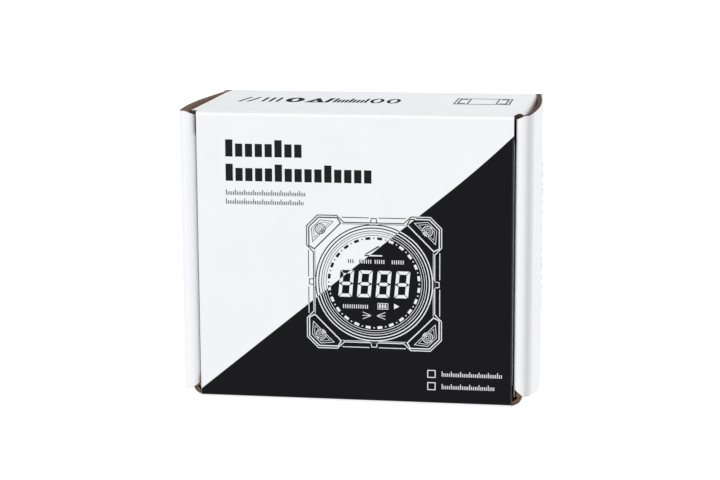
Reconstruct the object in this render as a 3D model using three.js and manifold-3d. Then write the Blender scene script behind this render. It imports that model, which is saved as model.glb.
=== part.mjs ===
// A boxed digital angle gauge: a corrugated mailer carton that stands on its front wall with its hinged lid
// facing forward (-Y), the foam nest inside it, and the square, round-dialled gauge that lies in the nest.
// Millimetres, +Z up. The origin is at the centre of the carton's footprint, on the surface it stands on.

import * as THREE from 'three';
import { mergeVertices } from 'three/addons/utils/BufferGeometryUtils.js';
import Module from 'manifold-3d';

const wasm = await Module();
wasm.setup();

// Carton: driving sizes
const BOARD = 1.5;
const LID_WIDTH = 118;
const CARTON_HEIGHT = 110;
const CARTON_DEPTH = 72;
const LID_SIDE_GAP = 0.7;
const LAYER_GAP = 0.15;
const WALL_GAP = 0.3;
const CREASE_GAP = 0.3;

// Rolled side walls: each outer wall bows, its roll stands wider than its foot, and its lower front corner
// is cut up to clear the front wall's folds
const ROLL_RADIUS = 3.2;
const ROLL_INNER_RADIUS = 1.2;
const ROLL_FLARE_LEFT = 1.4;
const ROLL_FLARE_RIGHT = 0.3;
const WALL_BOW = 1.5;
const ROLL_TOP_SLANT = 1.5;
const ROLL_FOOT_SLANT = 2.2;
const ROLL_FOOT_RISE = 4.4;
const ROLL_FOOT_RUN = 30;
const LOCK_TAB_LENGTH = 15;
const LOCK_TAB_SPACING = 52;
const LOCK_TAB_SHY = 0.2;
const LOCK_SLOT_PLAY = 0.3;

// Corner flaps
const CORNER_FLAP_LENGTH = 36;
const CORNER_FOLD_RADIUS = 4.4;
const CORNER_FLAP_TAPER = 5;
const CORNER_FLAP_ROUND = 4;

// Front wall, set back behind the lid's lower fold
const FRONT_WALL_SETBACK = 5;
const TUCK_FOLD_RISE = 0.8;

// Tuck flap and dust flaps
const TUCK_DEPTH = 15;
const TUCK_LEAN_DEG = 12;
const TUCK_SIDE_CLEARANCE = 1;
const TUCK_TAPER = 4;
const TUCK_ROUND = 5;
const TUCK_START = 1.2;
const DUST_DEPTH = 20;
const DUST_TOP_CLEARANCE = 9;
const DUST_BOTTOM_CLEARANCE = 9;
const DUST_TAPER = 8;
const DUST_ROUND = 6;

// Foam
const FOAM_FACE_CLEARANCE = 1;
const FOAM_SIDE_GAP = 0.3;
const NEST_CLEARANCE = 0.5;
const NEST_FLOOR_CLEARANCE = 0.3;
const SCOOP_RADIUS = 10;
const SCOOP_REACH = 9;

// Gauge: driving sizes
const GAUGE_SIDE = 62;
const GAUGE_DEPTH = 29;
const SEAT_GAP = 0.1;
const RUNNING_GAP = 0.15;
const STACK_GAP = 0.3;

// Gauge outline: chamfered corners, and a shallow channel between the two feet of each side
const CASE_CHAMFER = 5.2;
const FOOT_FLANK = 3.6;
const CHANNEL_DEPTH = 3.3;
const CASE_WALL = 2.7;
const CAVITY_CHAMFER = 10;
const GROOVE_WIDTH = 10;
const GROOVE_DEPTH = 3;

// Gauge depths, counted back from the front of the corner pads
const PAD_PROUD = 1.6;
const PAD_THICKNESS = 2.2;
const PAD_CLEARANCE = 0.15;
const FRONT_PLATE = 3.8;
const REAR_CASE_DEPTH = 7.7;
const REAR_FLOOR = 3;

// Corner pads and screws
const PAD_TIP_REACH = 2.4;
const PAD_TIP_INSET = 4.1;
const PAD_ROUND = 0.8;
const POCKET_INSET = 2.1;
const POCKET_DEPTH = 1.4;
const POCKET_ROUND = 1.6;
const SCREW_HEAD_RADIUS = 2.6;
const SCREW_HEAD_CHAMFER = 0.7;
const SCREW_HEAD_HEIGHT = 1.2;
const SCREW_RADIUS = 1.45;
const SCREW_HOLE_CLEARANCE = 0.25;
const SCREW_LENGTH = 24;
const SOCKET_RADIUS = 1.2;
const SOCKET_DEPTH = 0.8;

// Round dial
const BEZEL_MARGIN = 4.5;
const BEZEL_WIDTH = 1.9;
const BEZEL_PROUD = 0.6;
const BEZEL_SEAT = 1.5;
const BEZEL_EDGE = 0.4;
const DIAL_RING_WIDTH = 3;
const DIAL_RING_RECESS = 0.2;
const DIAL_RING_DEPTH = 1.9;
const DIAL_RING_SLOPE = 1.4;
const WINDOW_THICKNESS = 1.2;
const LCD_MARGIN = 1;
const LCD_THICKNESS = 1.6;
const BACKLIGHT_THICKNESS = 2;

// Electronics
const BOARD_THICKNESS = 1.6;
const SENSOR_SIZE = 4;
const SENSOR_HEIGHT = 1;
const SENSOR_PLACE = 10;
const CHIP_SIZE = 8;
const CHIP_HEIGHT = 1;
const BATTERY_WIDTH = 34;
const BATTERY_HEIGHT = 25;
const BATTERY_THICKNESS = 6;
const BATTERY_ROUND = 2;
const PORT_WIDTH = 9;
const PORT_THICKNESS = 3.2;
const PORT_LENGTH = 7.3;
const PORT_WALL = 0.4;
const PORT_RECESS = 0.5;
const PORT_TONGUE = 0.7;
const PORT_TONGUE_MARGIN = 1.2;
const PORT_SIDE = 'left';
const MAGNET_RADIUS = 3;
const MAGNET_THICKNESS = 2;
const MAGNET_PORT_WALL = 1;
const MAGNET_FLANK_WALL = 1.7;

// Keys
const KEY_WIDTH = 2.8;
const KEY_LENGTH = 7;
const KEY_PROUD = 1.5;
const KEY_FLANGE = 0.8;
const KEY_FLANGE_MARGIN = 0.8;
const KEY_CENTRE_BEHIND_BOARD = 4.7;
const SWITCH_SIZE = 4;
const SWITCH_HEIGHT = 2.4;
const SWITCH_GAP = 0.65;

// Facets
const FULL_TURN = 2 * Math.PI;
const DIAL_STEPS = 72;
const SCREW_STEPS = 20;
const SOCKET_SIDES = 6;
const ROUND_STEPS = 5;
const BOW_STEPS = 10;
const CUT = 1;

// Materials
const material = (color, roughness, metalness = 0, extra = {}) =>
  new THREE.MeshStandardMaterial({ color, roughness, metalness, ...extra });
const whiteBoard = material(0xf2f2f4, 0.55);
const foamMaterial = material(0x2b2c2e, 0.95);
const caseMaterial = material(0x1d1e20, 0.6);
const padMaterial = material(0xb9bcc0, 0.35, 1);
const ringMaterial = material(0x101113, 0.4);
const bezelMaterial = material(0x8f9398, 0.3, 1);
const windowMaterial = material(0xdfe8ea, 0.05, 0, { transparent: true, opacity: 0.35 });
const lcdMaterial = material(0x07090b, 0.2);
const backlightMaterial = material(0xeef2f5, 0.5);
const circuitMaterial = material(0x1c5a34, 0.5);
const chipMaterial = material(0x141414, 0.5);
const batteryMaterial = material(0xb7bcc2, 0.4, 0.6);
const steelMaterial = material(0xc4c7ca, 0.3, 1);
const keyMaterial = material(0x3a3c3f, 0.7);

// A closed mesh as a manifold solid.
function toSolid(geometry) {
  const bare = geometry.clone();
  bare.deleteAttribute('normal');
  bare.deleteAttribute('uv');
  const merged = mergeVertices(bare);
  const corners = [];
  for (let i = 0; i < merged.index.count; i += 3) {
    const [a, b, c] = [0, 1, 2].map((k) => merged.index.getX(i + k));
    if (a !== b && b !== c && c !== a) {
      corners.push(a, b, c);
    }
  }
  return new wasm.Manifold(new wasm.Mesh({
    numProp: 3,
    vertProperties: new Float32Array(merged.attributes.position.array),
    triVerts: new Uint32Array(corners),
  }));
}

// A manifold solid as a geometry.
function toGeometry(solid) {
  const mesh = solid.getMesh();
  const geometry = new THREE.BufferGeometry();
  geometry.setAttribute('position', new THREE.BufferAttribute(new Float32Array(mesh.vertProperties), 3));
  geometry.setIndex(new THREE.BufferAttribute(new Uint32Array(mesh.triVerts), 1));
  geometry.computeVertexNormals();
  return geometry;
}

// An outline from corners [a, b] or [a, b, radius]; a corner with a radius becomes an arc.
function outline(corners, steps = ROUND_STEPS) {
  const points = [];
  corners.forEach(([a, b, radius = 0], i) => {
    const corner = new THREE.Vector2(a, b);
    if (radius === 0) {
      points.push(corner);
      return;
    }
    const before = corners[(i + corners.length - 1) % corners.length];
    const after = corners[(i + 1) % corners.length];
    const back = new THREE.Vector2(before[0] - a, before[1] - b).normalize();
    const on = new THREE.Vector2(after[0] - a, after[1] - b).normalize();
    const half = Math.acos(THREE.MathUtils.clamp(back.dot(on), -1, 1)) / 2;
    const bisector = back.clone().add(on).normalize();
    const centre = corner.clone().addScaledVector(bisector, radius / Math.sin(half));
    const start = corner.clone().addScaledVector(back, radius / Math.tan(half)).sub(centre);
    const end = corner.clone().addScaledVector(on, radius / Math.tan(half)).sub(centre);
    const turn = Math.atan2(start.cross(end), start.dot(end));
    for (let s = 0; s <= steps; s += 1) {
      points.push(start.clone().rotateAround(new THREE.Vector2(), (turn * s) / steps).add(centre));
    }
  });
  return new THREE.Shape(points);
}

// A regular polygon standing for a circle.
function circle(radius, steps, a = 0, b = 0) {
  const points = [];
  for (let s = 0; s < steps; s += 1) {
    const angle = (FULL_TURN * s) / steps;
    points.push(new THREE.Vector2(a + radius * Math.cos(angle), b + radius * Math.sin(angle)));
  }
  return new THREE.Shape(points);
}

// A shape pushed along one axis, from low to high. Its own two directions are the other two axes:
// (x, y) along z, (x, z) along y, and (y, z) along x.
function prism(shape, axis, low, high) {
  const geometry = new THREE.ExtrudeGeometry(shape, { depth: high - low, bevelEnabled: false });
  if (axis === 'z') {
    geometry.translate(0, 0, low);
  } else if (axis === 'y') {
    geometry.rotateX(Math.PI / 2).translate(0, high, 0);
  } else {
    geometry.applyMatrix4(new THREE.Matrix4().makeBasis(
      new THREE.Vector3(0, 1, 0), new THREE.Vector3(0, 0, 1), new THREE.Vector3(1, 0, 0),
    )).translate(low, 0, 0);
  }
  return geometry;
}

const solidPrism = (shape, axis, low, high) => toSolid(prism(shape, axis, low, high));

// A box between two corners.
function block([x0, y0, z0], [x1, y1, z1]) {
  const geometry = new THREE.BoxGeometry(x1 - x0, y1 - y0, z1 - z0);
  return geometry.translate((x0 + x1) / 2, (y0 + y1) / 2, (z0 + z1) / 2);
}

const solidBlock = (low, high) => toSolid(block(low, high));

// A profile of [radius, depth] points turned round the dial's axis, with the depth running along +Y.
function turned(profile, steps = DIAL_STEPS) {
  const points = profile.map(([radius, depth]) => new THREE.Vector2(radius, depth));
  const geometry = new THREE.LatheGeometry([...points, points[0].clone()], steps);
  const solid = toSolid(geometry);
  return solid.volume() < 0 ? toSolid(flipped(geometry)) : solid;
}

// The same mesh with its faces turned over.
function flipped(geometry) {
  const copy = geometry.clone();
  const index = copy.index.array;
  for (let i = 0; i < index.length; i += 3) {
    [index[i], index[i + 1]] = [index[i + 1], index[i]];
  }
  return copy;
}

const part = new THREE.Group();

// Adds one named piece to a group.
function add(group, name, shape, finish) {
  const geometry = shape instanceof THREE.BufferGeometry ? shape : toGeometry(shape);
  const mesh = new THREE.Mesh(geometry, finish);
  mesh.name = name;
  group.add(mesh);
  return mesh;
}

// Left and right pieces are made once, on the right, and mirrored across X.
const SIDES = [['left', -1], ['right', 1]];
const mirroredX = (solid, side) => (side < 0 ? solid.mirror([1, 0, 0]) : solid);

// Carton: places worked out from the driving sizes
const lidHalf = LID_WIDTH / 2;
const lidFace = -CARTON_DEPTH / 2;
const lidInner = lidFace + BOARD;
const baseOuter = CARTON_DEPTH / 2;
const baseInner = baseOuter - BOARD;
const wallEnd = baseInner - WALL_GAP;
const rollInner = lidHalf + LID_SIDE_GAP;
const innerWallOut = rollInner + BOARD;
const flapInner = innerWallOut + LAYER_GAP;
const flapOuter = flapInner + BOARD;
const outerWallIn = flapOuter + LAYER_GAP;
const outerWallOut = outerWallIn + BOARD;
const rollChannel = outerWallIn - innerWallOut;
const rollInnerFillet = Math.min(ROLL_RADIUS - BOARD, rollChannel - CREASE_GAP / 2);
const flapFront = lidInner + rollInnerFillet;
const hingeY = lidFace + BOARD / 2;
const hingeZ = CARTON_HEIGHT - BOARD / 2;
const tuckZ = TUCK_FOLD_RISE + BOARD / 2;
const creaseStart = BOARD / 2 + CREASE_GAP;
const foldHalf = flapOuter - CORNER_FOLD_RADIUS;
const centreZ = CARTON_HEIGHT / 2;

// Base panel, with its edges rounded along the wall creases, and a slot for each locking tab
function basePanel() {
  const across = outline([
    [-outerWallOut, baseInner], [outerWallOut, baseInner],
    [outerWallOut, baseOuter, BOARD - LAYER_GAP], [-outerWallOut, baseOuter, BOARD - LAYER_GAP],
  ]);
  const upright = outline([
    [baseInner, 0], [baseOuter, 0, BOARD - LAYER_GAP],
    [baseOuter, CARTON_HEIGHT, BOARD - LAYER_GAP], [baseInner, CARTON_HEIGHT],
  ]);
  let panel = solidPrism(across, 'z', 0, CARTON_HEIGHT)
    .intersect(solidPrism(upright, 'x', -outerWallOut - CUT, outerWallOut + CUT));
  for (const [, side] of SIDES) {
    for (const tab of [-1, 1]) {
      const middle = centreZ + (tab * LOCK_TAB_SPACING) / 2;
      const half = LOCK_TAB_LENGTH / 2 + LOCK_SLOT_PLAY;
      const slot = solidBlock(
        [rollInner - LOCK_SLOT_PLAY, baseInner - CUT, middle - half],
        [innerWallOut + LOCK_SLOT_PLAY, baseOuter + CUT, middle + half],
      );
      panel = panel.subtract(mirroredX(slot, side));
    }
  }
  return panel;
}

// One face of the outer wall, from the base towards the roll: it leans out by the flare and bows on the way
function bowedFace(x, flare) {
  const points = [];
  for (let s = 0; s < BOW_STEPS; s += 1) {
    const share = s / BOW_STEPS;
    const bow = 4 * WALL_BOW * share * (1 - share);
    points.push([x + flare * share + bow, THREE.MathUtils.lerp(wallEnd, lidFace + ROLL_RADIUS, share)]);
  }
  return points;
}

// Rolled side wall: the outer wall turns over the corner flaps and down again as the inner wall
function sideWall(flare) {
  const tabEnd = baseOuter - LOCK_TAB_SHY;
  const section = outline([
    ...bowedFace(outerWallIn, flare),
    [outerWallIn + flare, lidInner, rollInnerFillet], [innerWallOut, lidInner],
    [innerWallOut, tabEnd], [rollInner, tabEnd],
    [rollInner, lidFace, ROLL_INNER_RADIUS], [outerWallOut + flare, lidFace, ROLL_RADIUS],
    ...bowedFace(outerWallOut, flare).reverse(),
  ]);
  let wall = solidPrism(section, 'z', 0, CARTON_HEIGHT);
  // The rolled edge is cut on a slant at both ends, longest at its outer crease.
  const rollShare = 1 + CUT / (outerWallIn - rollInner);
  const topSlant = outline([
    [rollInner - CUT, CARTON_HEIGHT - ROLL_TOP_SLANT * rollShare], [outerWallIn, CARTON_HEIGHT],
    [outerWallIn, CARTON_HEIGHT + CUT], [rollInner - CUT, CARTON_HEIGHT + CUT],
  ]);
  const footSlant = outline([
    [rollInner - CUT, -CUT], [outerWallIn, -CUT],
    [outerWallIn, ROLL_FOOT_RISE], [rollInner - CUT, ROLL_FOOT_RISE + ROLL_FOOT_SLANT * rollShare],
  ]);
  // The outer wall's lower front corner is cut up towards the roll.
  const footRise = ROLL_FOOT_RISE * (1 + CUT / ROLL_FOOT_RUN);
  const footCorner = outline([
    [lidFace - CUT, -CUT], [lidFace + ROLL_FOOT_RUN, -CUT],
    [lidFace + ROLL_FOOT_RUN, 0], [lidFace - CUT, footRise],
  ]);
  const clearance = outerWallOut + flare + WALL_BOW + CUT;
  for (const cutter of [
    solidPrism(topSlant, 'y', lidFace - CUT, tabEnd + CUT),
    solidPrism(footSlant, 'y', lidFace - CUT, tabEnd + CUT),
    solidPrism(footCorner, 'x', rollInner - CUT, clearance),
  ]) {
    wall = wall.subtract(cutter);
  }
  // The inner wall stands between the rounded folds of the front wall and the hinge wall.
  for (const [low, high] of [
    [CARTON_HEIGHT - CORNER_FOLD_RADIUS, CARTON_HEIGHT + CUT], [-CUT, CORNER_FOLD_RADIUS],
  ]) {
    wall = wall.subtract(solidBlock(
      [rollInner - CUT, lidInner, low], [outerWallIn - LAYER_GAP / 2, tabEnd + CUT, high],
    ));
  }
  // Only the two locking tabs reach into the base panel.
  const tabs = [-1, 1].map((tab) => centreZ + (tab * LOCK_TAB_SPACING) / 2);
  const stretches = [
    [-CUT, tabs[0] - LOCK_TAB_LENGTH / 2],
    [tabs[0] + LOCK_TAB_LENGTH / 2, tabs[1] - LOCK_TAB_LENGTH / 2],
    [tabs[1] + LOCK_TAB_LENGTH / 2, CARTON_HEIGHT + CUT],
  ];
  const clearOut = innerWallOut + LAYER_GAP;
  for (const [low, high] of stretches) {
    wall = wall.subtract(solidBlock([rollInner - CUT, wallEnd, low], [clearOut, tabEnd + CUT, high]));
  }
  return wall;
}

// Corner flap with its rounded fold, at the hinge wall's right end
function cornerFlap() {
  const free = CARTON_HEIGHT - CORNER_FLAP_LENGTH;
  const section = outline([
    [foldHalf, CARTON_HEIGHT], [foldHalf, CARTON_HEIGHT - BOARD],
    [flapInner, CARTON_HEIGHT - BOARD, CORNER_FOLD_RADIUS - BOARD], [flapInner, free],
    [flapOuter, free], [flapOuter, CARTON_HEIGHT, CORNER_FOLD_RADIUS],
  ]);
  const face = outline([
    [flapFront, CARTON_HEIGHT + CUT],
    [flapFront, CARTON_HEIGHT - CORNER_FOLD_RADIUS],
    [flapFront + CORNER_FLAP_TAPER, free, CORNER_FLAP_ROUND],
    [wallEnd - CORNER_FLAP_TAPER, free, CORNER_FLAP_ROUND],
    [wallEnd, CARTON_HEIGHT - CORNER_FOLD_RADIUS],
    [wallEnd, CARTON_HEIGHT + CUT],
  ]);
  return solidPrism(section, 'y', flapFront, wallEnd)
    .intersect(solidPrism(face, 'x', foldHalf - CUT, flapOuter + CUT));
}

// The flat walls between the rounded folds
const wallHalf = foldHalf - LAYER_GAP;
const hingeWall = block(
  [-wallHalf, hingeY + creaseStart, CARTON_HEIGHT - BOARD], [wallHalf, wallEnd, CARTON_HEIGHT],
);
const frontWall = block([-wallHalf, lidFace + FRONT_WALL_SETBACK, 0], [wallHalf, wallEnd, BOARD]);

const carton = new THREE.Group();
part.add(carton);
add(carton, 'base_panel', basePanel(), whiteBoard);
add(carton, 'hinge_wall', hingeWall, whiteBoard);
add(carton, 'front_wall', frontWall, whiteBoard);
const ROLL_FLARES = { left: ROLL_FLARE_LEFT, right: ROLL_FLARE_RIGHT };
for (const [sideName, side] of SIDES) {
  add(carton, `side_wall_${sideName}`, mirroredX(sideWall(ROLL_FLARES[sideName]), side), whiteBoard);
  const topFlap = mirroredX(cornerFlap(), side);
  add(carton, `corner_flap_top_${sideName}`, topFlap, whiteBoard);
  const bottomFlap = topFlap.mirror([0, 0, 1]).translate([0, 0, CARTON_HEIGHT]);
  add(carton, `corner_flap_bottom_${sideName}`, bottomFlap, whiteBoard);
}

// Lid: its two long edges are rounded about the creases that it turns on
const lid = new THREE.Group();
carton.add(lid);
const lidSection = outline([
  [lidFace, hingeZ + BOARD / 2, BOARD / 2], [lidFace, tuckZ - BOARD / 2, BOARD / 2],
  [lidInner, tuckZ - BOARD / 2, BOARD / 2], [lidInner, hingeZ + BOARD / 2, BOARD / 2],
]);
add(lid, 'lid_panel', solidPrism(lidSection, 'x', -lidHalf, lidHalf), whiteBoard);

// Tuck flap, drawn flat along its own depth, then turned up by its lean about the lower crease
const tuck = new THREE.Group();
tuck.position.set(0, hingeY, tuckZ);
tuck.rotation.x = THREE.MathUtils.degToRad(TUCK_LEAN_DEG);
lid.add(tuck);
const tuckHalf = lidHalf - TUCK_SIDE_CLEARANCE;
const tuckOutline = outline([
  [-tuckHalf, TUCK_START], [tuckHalf, TUCK_START],
  [tuckHalf - TUCK_TAPER, TUCK_DEPTH, TUCK_ROUND], [-tuckHalf + TUCK_TAPER, TUCK_DEPTH, TUCK_ROUND],
]);
add(tuck, 'tuck_flap', solidPrism(tuckOutline, 'z', -BOARD / 2, BOARD / 2), whiteBoard);

// Dust flaps, turned in from the lid's side edges
const dustStart = lidInner + CREASE_GAP;
const dustOutline = outline([
  [dustStart, DUST_BOTTOM_CLEARANCE],
  [dustStart + DUST_DEPTH, DUST_BOTTOM_CLEARANCE + DUST_TAPER, DUST_ROUND],
  [dustStart + DUST_DEPTH, CARTON_HEIGHT - DUST_TOP_CLEARANCE - DUST_TAPER, DUST_ROUND],
  [dustStart, CARTON_HEIGHT - DUST_TOP_CLEARANCE],
]);
for (const [sideName, side] of SIDES) {
  const flap = mirroredX(solidPrism(dustOutline, 'x', lidHalf - BOARD, lidHalf), side);
  add(lid, `dust_flap_${sideName}`, flap, whiteBoard);
}

// Gauge: places worked out from the driving sizes. Depths run back from the front of the corner pads.
const gaugeFront = dustStart + DUST_DEPTH + FOAM_FACE_CLEARANCE;
const half = GAUGE_SIDE / 2;
const channelFloor = half - CHANNEL_DEPTH;
const cavityHalf = channelFloor - CASE_WALL;

// Each side's channel is as wide as the port with a magnet at either side of it
const magnetPlace = PORT_WIDTH / 2 + MAGNET_PORT_WALL + MAGNET_RADIUS;
const channelHalf = magnetPlace + MAGNET_RADIUS + MAGNET_FLANK_WALL;
const footInner = channelHalf + FOOT_FLANK;
const padTip = footInner - PAD_TIP_REACH;
const padSide = half - PAD_TIP_INSET;
// A screw stands midway between its pad's inner edge and the corner's chamfer.
const screwPlace = (padTip + padSide + GAUGE_SIDE - CASE_CHAMFER) / 4;
const bezelOuter = half - BEZEL_MARGIN;
const bezelInner = bezelOuter - BEZEL_WIDTH;
const splitDepth = GAUGE_DEPTH - REAR_CASE_DEPTH;
const caseFront = PAD_PROUD;
const cavityFront = caseFront + FRONT_PLATE;
const grooveMiddle = GAUGE_DEPTH / 2;
const padBack = PAD_THICKNESS;
const pocketFloor = POCKET_DEPTH;
const screwTop = pocketFloor - SEAT_GAP - SCREW_HEAD_HEIGHT;
const screwHole = SCREW_RADIUS + SCREW_HOLE_CLEARANCE;
const bezelFront = caseFront - BEZEL_PROUD;
const bezelBack = caseFront + BEZEL_SEAT;
const ringFront = caseFront + DIAL_RING_RECESS;
const ringBack = ringFront + DIAL_RING_DEPTH;
const boreRadius = bezelInner - SEAT_GAP;
const windowFront = ringBack + STACK_GAP;
const windowBack = windowFront + WINDOW_THICKNESS;
const lcdFront = windowBack + STACK_GAP;
const lcdBack = lcdFront + LCD_THICKNESS;
const backlightFront = lcdBack + STACK_GAP;
const backlightBack = backlightFront + BACKLIGHT_THICKNESS;
const boardFront = backlightBack + STACK_GAP;
const boardBack = boardFront + BOARD_THICKNESS;
const keyDepth = boardBack + KEY_CENTRE_BEHIND_BOARD;

// One quarter's corners, turned four times round the dial's axis
function fourfold(corners) {
  const all = [];
  for (let quarter = 0; quarter < 4; quarter += 1) {
    const turn = (quarter * FULL_TURN) / 4;
    for (const [a, b, radius = 0] of corners) {
      const point = new THREE.Vector2(a, b).rotateAround(new THREE.Vector2(), turn);
      all.push([point.x, point.y, radius]);
    }
  }
  return all;
}

const caseOutline = outline(fourfold([
  [channelFloor, channelHalf], [half, footInner], [half, half - CASE_CHAMFER],
  [half - CASE_CHAMFER, half], [footInner, half], [channelHalf, channelFloor],
]));

// The square room inside the cases, or something that fits in it with a clearance all round
function cavityOutline(clearance = 0) {
  const flat = cavityHalf - clearance;
  const chamfer = cavityHalf - CAVITY_CHAMFER;
  return outline(fourfold([[flat, chamfer], [chamfer, flat]]));
}

// The same solid at each of the four sides, or at each of the four corners
const QUARTERS = ['top', 'left', 'bottom', 'right'];
const atQuarter = (solid, quarter) => solid.rotate([0, -90 * quarter, 0]);

// A corner pad's outline at the upper right corner
const padOutline = outline([
  [half, footInner], [half, half - CASE_CHAMFER], [half - CASE_CHAMFER, half], [footInner, half],
  [padTip, padSide, PAD_ROUND], [padSide, padTip, PAD_ROUND],
]);

// The room for a pad in the case's front, open to the outside
function padSeat() {
  const tip = padTip - PAD_CLEARANCE;
  const side = padSide - PAD_CLEARANCE;
  const flank = PAD_TIP_REACH / PAD_TIP_INSET;
  const foot = tip - PAD_CLEARANCE + (half + CUT - side) * flank;
  const seat = outline([
    [half + CUT, foot], [half + CUT, half + CUT], [foot, half + CUT],
    [tip - PAD_CLEARANCE, side], [side, tip - PAD_CLEARANCE],
  ]);
  return solidPrism(seat, 'y', caseFront - CUT, padBack + SEAT_GAP);
}

// A pad with its pocket for the screw's head
function cornerPad() {
  const reach = half - POCKET_INSET;
  const near = padTip + padSide + POCKET_INSET * Math.SQRT2 - reach;
  const chamfer = CASE_CHAMFER - POCKET_INSET * (2 - Math.SQRT2);
  const pocket = outline([
    [reach, near, POCKET_ROUND], [reach, reach - chamfer, POCKET_ROUND],
    [reach - chamfer, reach, POCKET_ROUND], [near, reach, POCKET_ROUND],
  ]);
  const headRoom = circle(SCREW_HEAD_RADIUS + SCREW_HOLE_CLEARANCE, SCREW_STEPS, screwPlace, screwPlace);
  return solidPrism(padOutline, 'y', 0, padBack)
    .subtract(solidPrism(pocket, 'y', -CUT, pocketFloor))
    .subtract(solidPrism(headRoom, 'y', -CUT, pocketFloor))
    .subtract(screwHoleSolid(pocketFloor - CUT, padBack + CUT));
}

// A round hole for a screw at the upper right corner
function screwHoleSolid(low, high) {
  return solidPrism(circle(screwHole, SCREW_STEPS, screwPlace, screwPlace), 'y', low, high);
}

function cornerScrew() {
  const shoulder = screwTop + SCREW_HEAD_HEIGHT;
  const end = screwTop + SCREW_LENGTH;
  const body = turned([
    [0, screwTop], [SCREW_HEAD_RADIUS - SCREW_HEAD_CHAMFER, screwTop],
    [SCREW_HEAD_RADIUS, screwTop + SCREW_HEAD_CHAMFER / 2], [SCREW_HEAD_RADIUS, shoulder],
    [SCREW_RADIUS, shoulder], [SCREW_RADIUS, end], [0, end],
  ], SCREW_STEPS);
  const socketShape = circle(SOCKET_RADIUS, SOCKET_SIDES);
  const socket = solidPrism(socketShape, 'y', screwTop - CUT, screwTop + SOCKET_DEPTH);
  return body.subtract(socket).translate([screwPlace, 0, screwPlace]);
}

// The groove that runs along a side's feet, a vee pressed into the top side
function sideGroove() {
  const reach = (GROOVE_WIDTH / 2) * (1 + CUT / GROOVE_DEPTH);
  const vee = outline([
    [grooveMiddle - reach, half + CUT], [grooveMiddle, half - GROOVE_DEPTH],
    [grooveMiddle + reach, half + CUT],
  ]);
  return solidPrism(vee, 'x', -half - CUT, half + CUT);
}

// A magnet's disc, or its pocket, in the top side's channel floor
function magnetDisc(place, grow, low, high) {
  return solidPrism(circle(MAGNET_RADIUS + grow, SCREW_STEPS, place, grooveMiddle), 'z', low, high);
}

// A key of the top side: its rounded cap, and the flange that keeps it in the case
function key() {
  const flangeTop = cavityHalf - SEAT_GAP;
  const flangeBottom = flangeTop - KEY_FLANGE;
  const flangeHalf = KEY_WIDTH / 2 + KEY_FLANGE_MARGIN;
  const top = channelFloor + KEY_PROUD;
  const cap = outline([
    [-KEY_WIDTH / 2, flangeBottom], [KEY_WIDTH / 2, flangeBottom],
    [KEY_WIDTH / 2, top, KEY_WIDTH / 2 - SEAT_GAP], [-KEY_WIDTH / 2, top, KEY_WIDTH / 2 - SEAT_GAP],
  ]);
  const flange = solidBlock(
    [-flangeHalf, keyDepth - KEY_LENGTH / 2 - KEY_FLANGE_MARGIN, flangeBottom],
    [flangeHalf, keyDepth + KEY_LENGTH / 2 + KEY_FLANGE_MARGIN, flangeTop],
  );
  return solidPrism(cap, 'y', keyDepth - KEY_LENGTH / 2, keyDepth + KEY_LENGTH / 2).add(flange);
}

function keyHole() {
  const wide = KEY_WIDTH / 2 + RUNNING_GAP;
  const long = KEY_LENGTH / 2 + RUNNING_GAP;
  return solidBlock([-wide, keyDepth - long, cavityHalf - CUT], [wide, keyDepth + long, channelFloor + CUT]);
}

function keySwitch() {
  const top = cavityHalf - SEAT_GAP - KEY_FLANGE - SWITCH_GAP;
  return block(
    [-SWITCH_SIZE / 2, boardBack + SEAT_GAP, top - SWITCH_HEIGHT],
    [SWITCH_SIZE / 2, keyDepth + SWITCH_SIZE / 2, top],
  );
}

// The charging port in the top side's place, and the opening for it
const portMiddle = boardBack + SEAT_GAP + PORT_THICKNESS / 2;
const portMouth = channelFloor - PORT_RECESS;
function portSection(grow) {
  const wide = PORT_WIDTH / 2 + grow;
  const thick = PORT_THICKNESS / 2 + grow;
  const round = thick - PORT_WALL / 2;
  return outline([
    [-wide, portMiddle - thick, round], [wide, portMiddle - thick, round],
    [wide, portMiddle + thick, round], [-wide, portMiddle + thick, round],
  ]);
}
const portPrism = (grow, low, high) => solidPrism(portSection(grow), 'z', low, high);
const portHole = () => portPrism(RUNNING_GAP, cavityHalf - CUT, channelFloor + CUT);
function chargingPort() {
  const back = portMouth - PORT_LENGTH;
  const tongue = solidBlock(
    [-PORT_WIDTH / 2 + PORT_TONGUE_MARGIN, portMiddle - PORT_TONGUE / 2, back + PORT_WALL / 2],
    [PORT_WIDTH / 2 - PORT_TONGUE_MARGIN, portMiddle + PORT_TONGUE / 2, portMouth - PORT_RECESS],
  );
  return portPrism(0, back, portMouth)
    .subtract(portPrism(-PORT_WALL, back + PORT_WALL, portMouth + CUT))
    .add(tongue);
}

// Front case: the dial's bore and rebates, the room behind it, and what its sides carry
function frontCase() {
  const rebate = circle(bezelOuter + RUNNING_GAP, DIAL_STEPS);
  let shell = solidPrism(caseOutline, 'y', caseFront, splitDepth)
    .subtract(solidPrism(cavityOutline(), 'y', cavityFront, splitDepth + CUT))
    .subtract(solidPrism(circle(boreRadius, DIAL_STEPS), 'y', caseFront - CUT, cavityFront + CUT))
    .subtract(solidPrism(rebate, 'y', caseFront - CUT, bezelBack + SEAT_GAP));
  const magnetSeat = channelFloor - MAGNET_THICKNESS - SEAT_GAP;
  QUARTERS.forEach((side, quarter) => {
    const cutters = [padSeat(), screwHoleSolid(caseFront - CUT, splitDepth + CUT), sideGroove()];
    for (const place of [-magnetPlace, magnetPlace]) {
      cutters.push(magnetDisc(place, RUNNING_GAP, magnetSeat, channelFloor + CUT));
    }
    cutters.push(side === PORT_SIDE ? portHole() : keyHole());
    for (const cutter of cutters) {
      shell = shell.subtract(atQuarter(cutter, quarter));
    }
  });
  return shell;
}

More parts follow.
